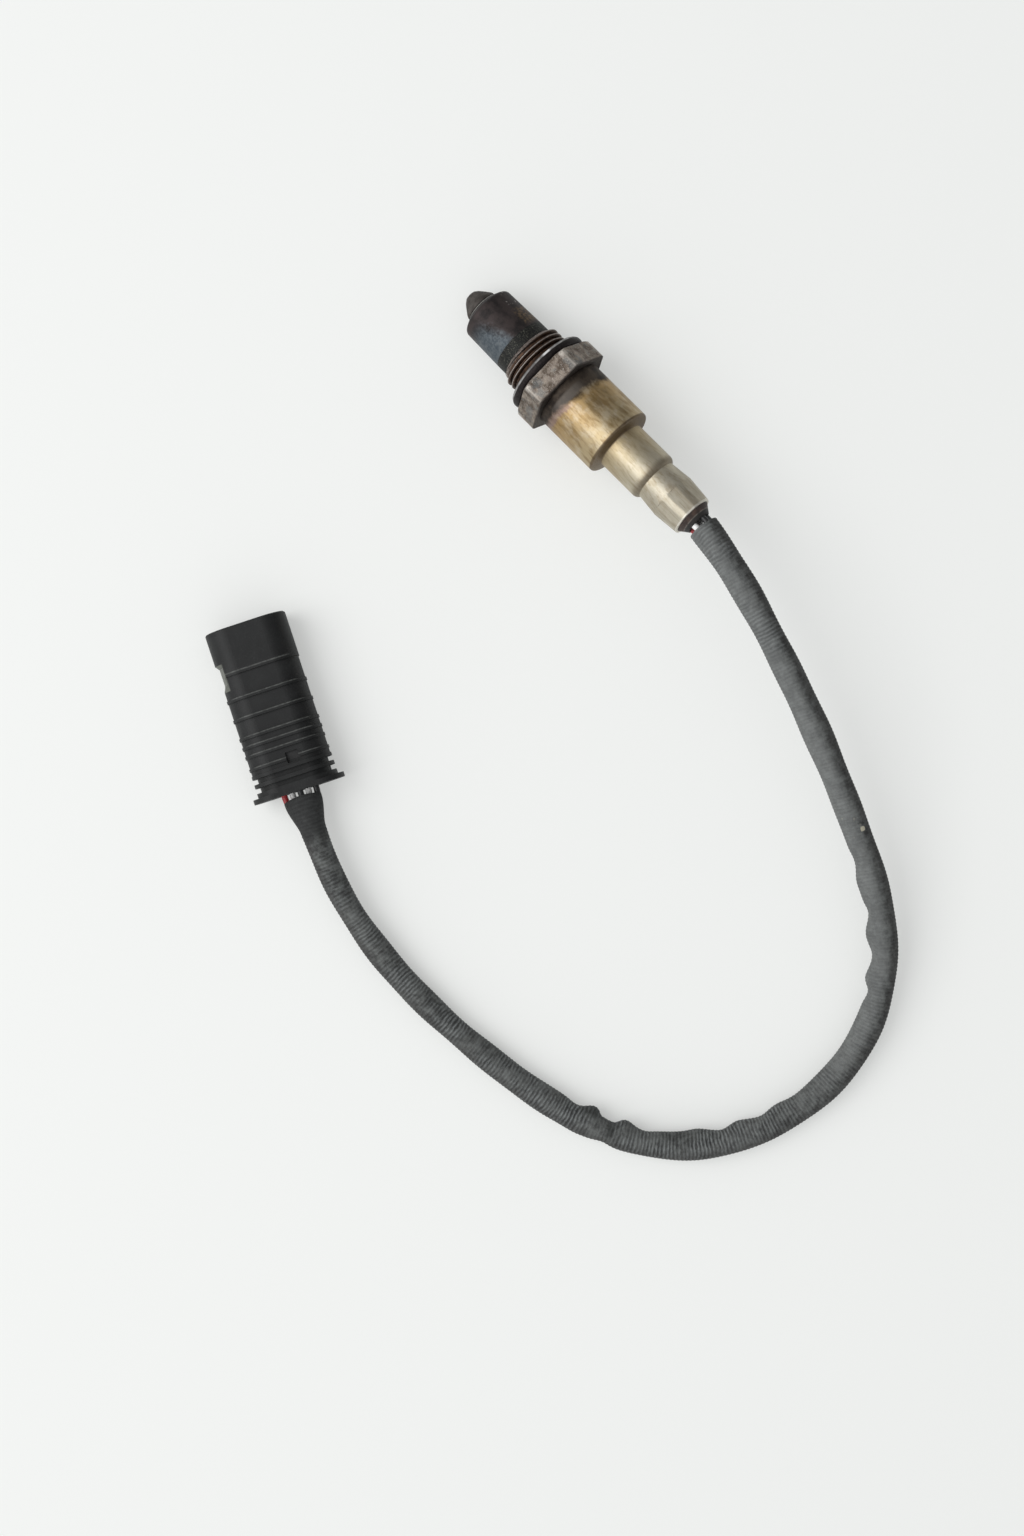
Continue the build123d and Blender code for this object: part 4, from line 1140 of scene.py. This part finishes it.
def wire(colour, first_angle, mid_flare, place):
    """One wire from its contact to its terminal, twisted half a turn with the others."""
    lead_in = HARNESS_AT - WIRES_AT
    fan = lead_in + harness_line.length - FAN_LENGTH
    # Places of the wire's rows of points, closest where it bends.
    distances = np.concatenate([
        np.linspace(CONTACT_AT - WIRES_AT, lead_in - 2, 12),
        np.linspace(lead_in - 1.5, lead_in + 6, 16),
        np.linspace(lead_in + 8, fan - 2, 150),
        np.linspace(fan, fan + 12, 40),
        np.linspace(fan + 14, wires_line.length - TERMINAL_GAP, 8),
    ])
    to_right, above = wire_offsets(distances - lead_in, first_angle, mid_flare, place)
    middle, right, high = wires_line.frames(distances)
    core = Line(middle + (to_right[:, None] * right + above[:, None] * high) * MM)
    middle, right, high = core.frames(core.reach)
    angles = 2 * np.pi * np.arange(WIRE_SIDES) / WIRE_SIDES
    rings = [
        m + WIRE_RADIUS * MM * (np.cos(angles)[:, None] * r + np.sin(angles)[:, None] * h)
        for m, r, h in zip(middle, right, high)
    ]
    points = np.concatenate(rings)
    faces = tube_faces(len(rings), WIRE_SIDES)
    faces.append(tuple(range(WIRE_SIDES)))
    faces.append(tuple(range(len(points) - WIRE_SIDES, len(points)))[::-1])
    piece = mesh_piece(f"insulated_wire_{colour}", points, faces, 60.0)
    slot = "wire_white" if colour.startswith("white") else f"wire_{colour}"
    return dress(piece, slot, f"wire_{colour}")


sleeving_piece = sleeving()
wire_pieces = [wire(*row) for row in WIRES]

# -------- floor, light and camera

# These sizes are in metres.
FLOOR_SIZE = 3.0
LAMP_SIZE = 1.0
LAMP_DISTANCE = 1.3
LAMP_POWER = 8.2
LOOP_MIDDLE = Vector((-0.05, 0.06, 0.0))
CAMERA_PLACE = Vector((-0.0526, 0.0755, 0.6))

VIEW_RIGHT = Vector((-0.6918, -0.7221, 0.0))
VIEW_UP = Vector((0.7221, -0.6918, 0.0))
VIEW_HEIGHT = 1536
FOCAL_PIXELS = 2334


def floor():
    """A pale floor that the camera sees a little lifted, so that its shadows stay soft."""
    half = FLOOR_SIZE / 2
    corners = [(-half, -half, 0), (half, -half, 0), (half, half, 0), (-half, half, 0)]
    piece = mesh_piece("floor", corners, [(0, 1, 2, 3)])
    pale = (0.925, 0.935, 0.915, 1.0)
    finish = Finish("pale_floor", pale, roughness=0.7)
    glow = finish.node("ShaderNodeEmission", {}, [pale, 1.0])
    seen = finish.node("ShaderNodeLightPath", output="Is Camera Ray")
    plain = Value(finish, finish.shader.outputs[0])
    lifted = finish.node("ShaderNodeMixShader", {}, [seen * 0.4, plain, glow])
    output = next(n for n in finish.tree.nodes if n.type == "OUTPUT_MATERIAL")
    finish.tree.links.new(lifted.socket, output.inputs["Surface"])
    piece.data.materials.append(finish.material)


def lamp():
    """A square soft lamp above the loop, to the left in the view."""
    data = bpy.data.lights.new("key", "AREA")
    data.size = LAMP_SIZE
    data.energy = LAMP_POWER
    piece = in_scene("key", data)
    towards = (Vector((0, 0, 1)) - VIEW_RIGHT * 0.8).normalized()
    piece.location = LOOP_MIDDLE + towards * LAMP_DISTANCE
    piece.rotation_euler = (-towards).to_track_quat("-Z", "Y").to_euler()


def sky():
    """A plain sky that is paler on the side of the lamp."""
    world = bpy.data.worlds.new("pale_sky")
    world.use_nodes = True
    tree = Tree(world.node_tree)
    way = tree.node("ShaderNodeTexCoord", output="Generated")
    towards = tuple(-VIEW_RIGHT * 0.7 - VIEW_UP * 0.7)
    settings = {"operation": "DOT_PRODUCT"}
    share = tree.node("ShaderNodeVectorMath", settings, [way, towards], "Value")
    background = next(n for n in world.node_tree.nodes if n.type == "BACKGROUND")
    background.inputs["Color"].default_value = (0.97, 0.985, 1.0, 1.0)
    world.node_tree.links.new((0.6 + share * 0.4).socket, background.inputs["Strength"])
    bpy.context.scene.world = world


def camera():
    """A camera that looks straight down."""
    data = bpy.data.cameras.new("camera")
    data.sensor_fit = "VERTICAL"
    data.sensor_height = 24.0
    data.lens = data.sensor_height * FOCAL_PIXELS / VIEW_HEIGHT
    data.clip_start = 0.01
    piece = in_scene("camera", data)
    turn = Matrix((VIEW_RIGHT, VIEW_UP, Vector((0, 0, 1)))).transposed()
    piece.matrix_world = Matrix.Translation(CAMERA_PLACE) @ turn.to_4x4()
    bpy.context.scene.camera = piece


floor()
lamp()
sky()
camera()
bpy.context.scene.view_settings.view_transform = "Standard"
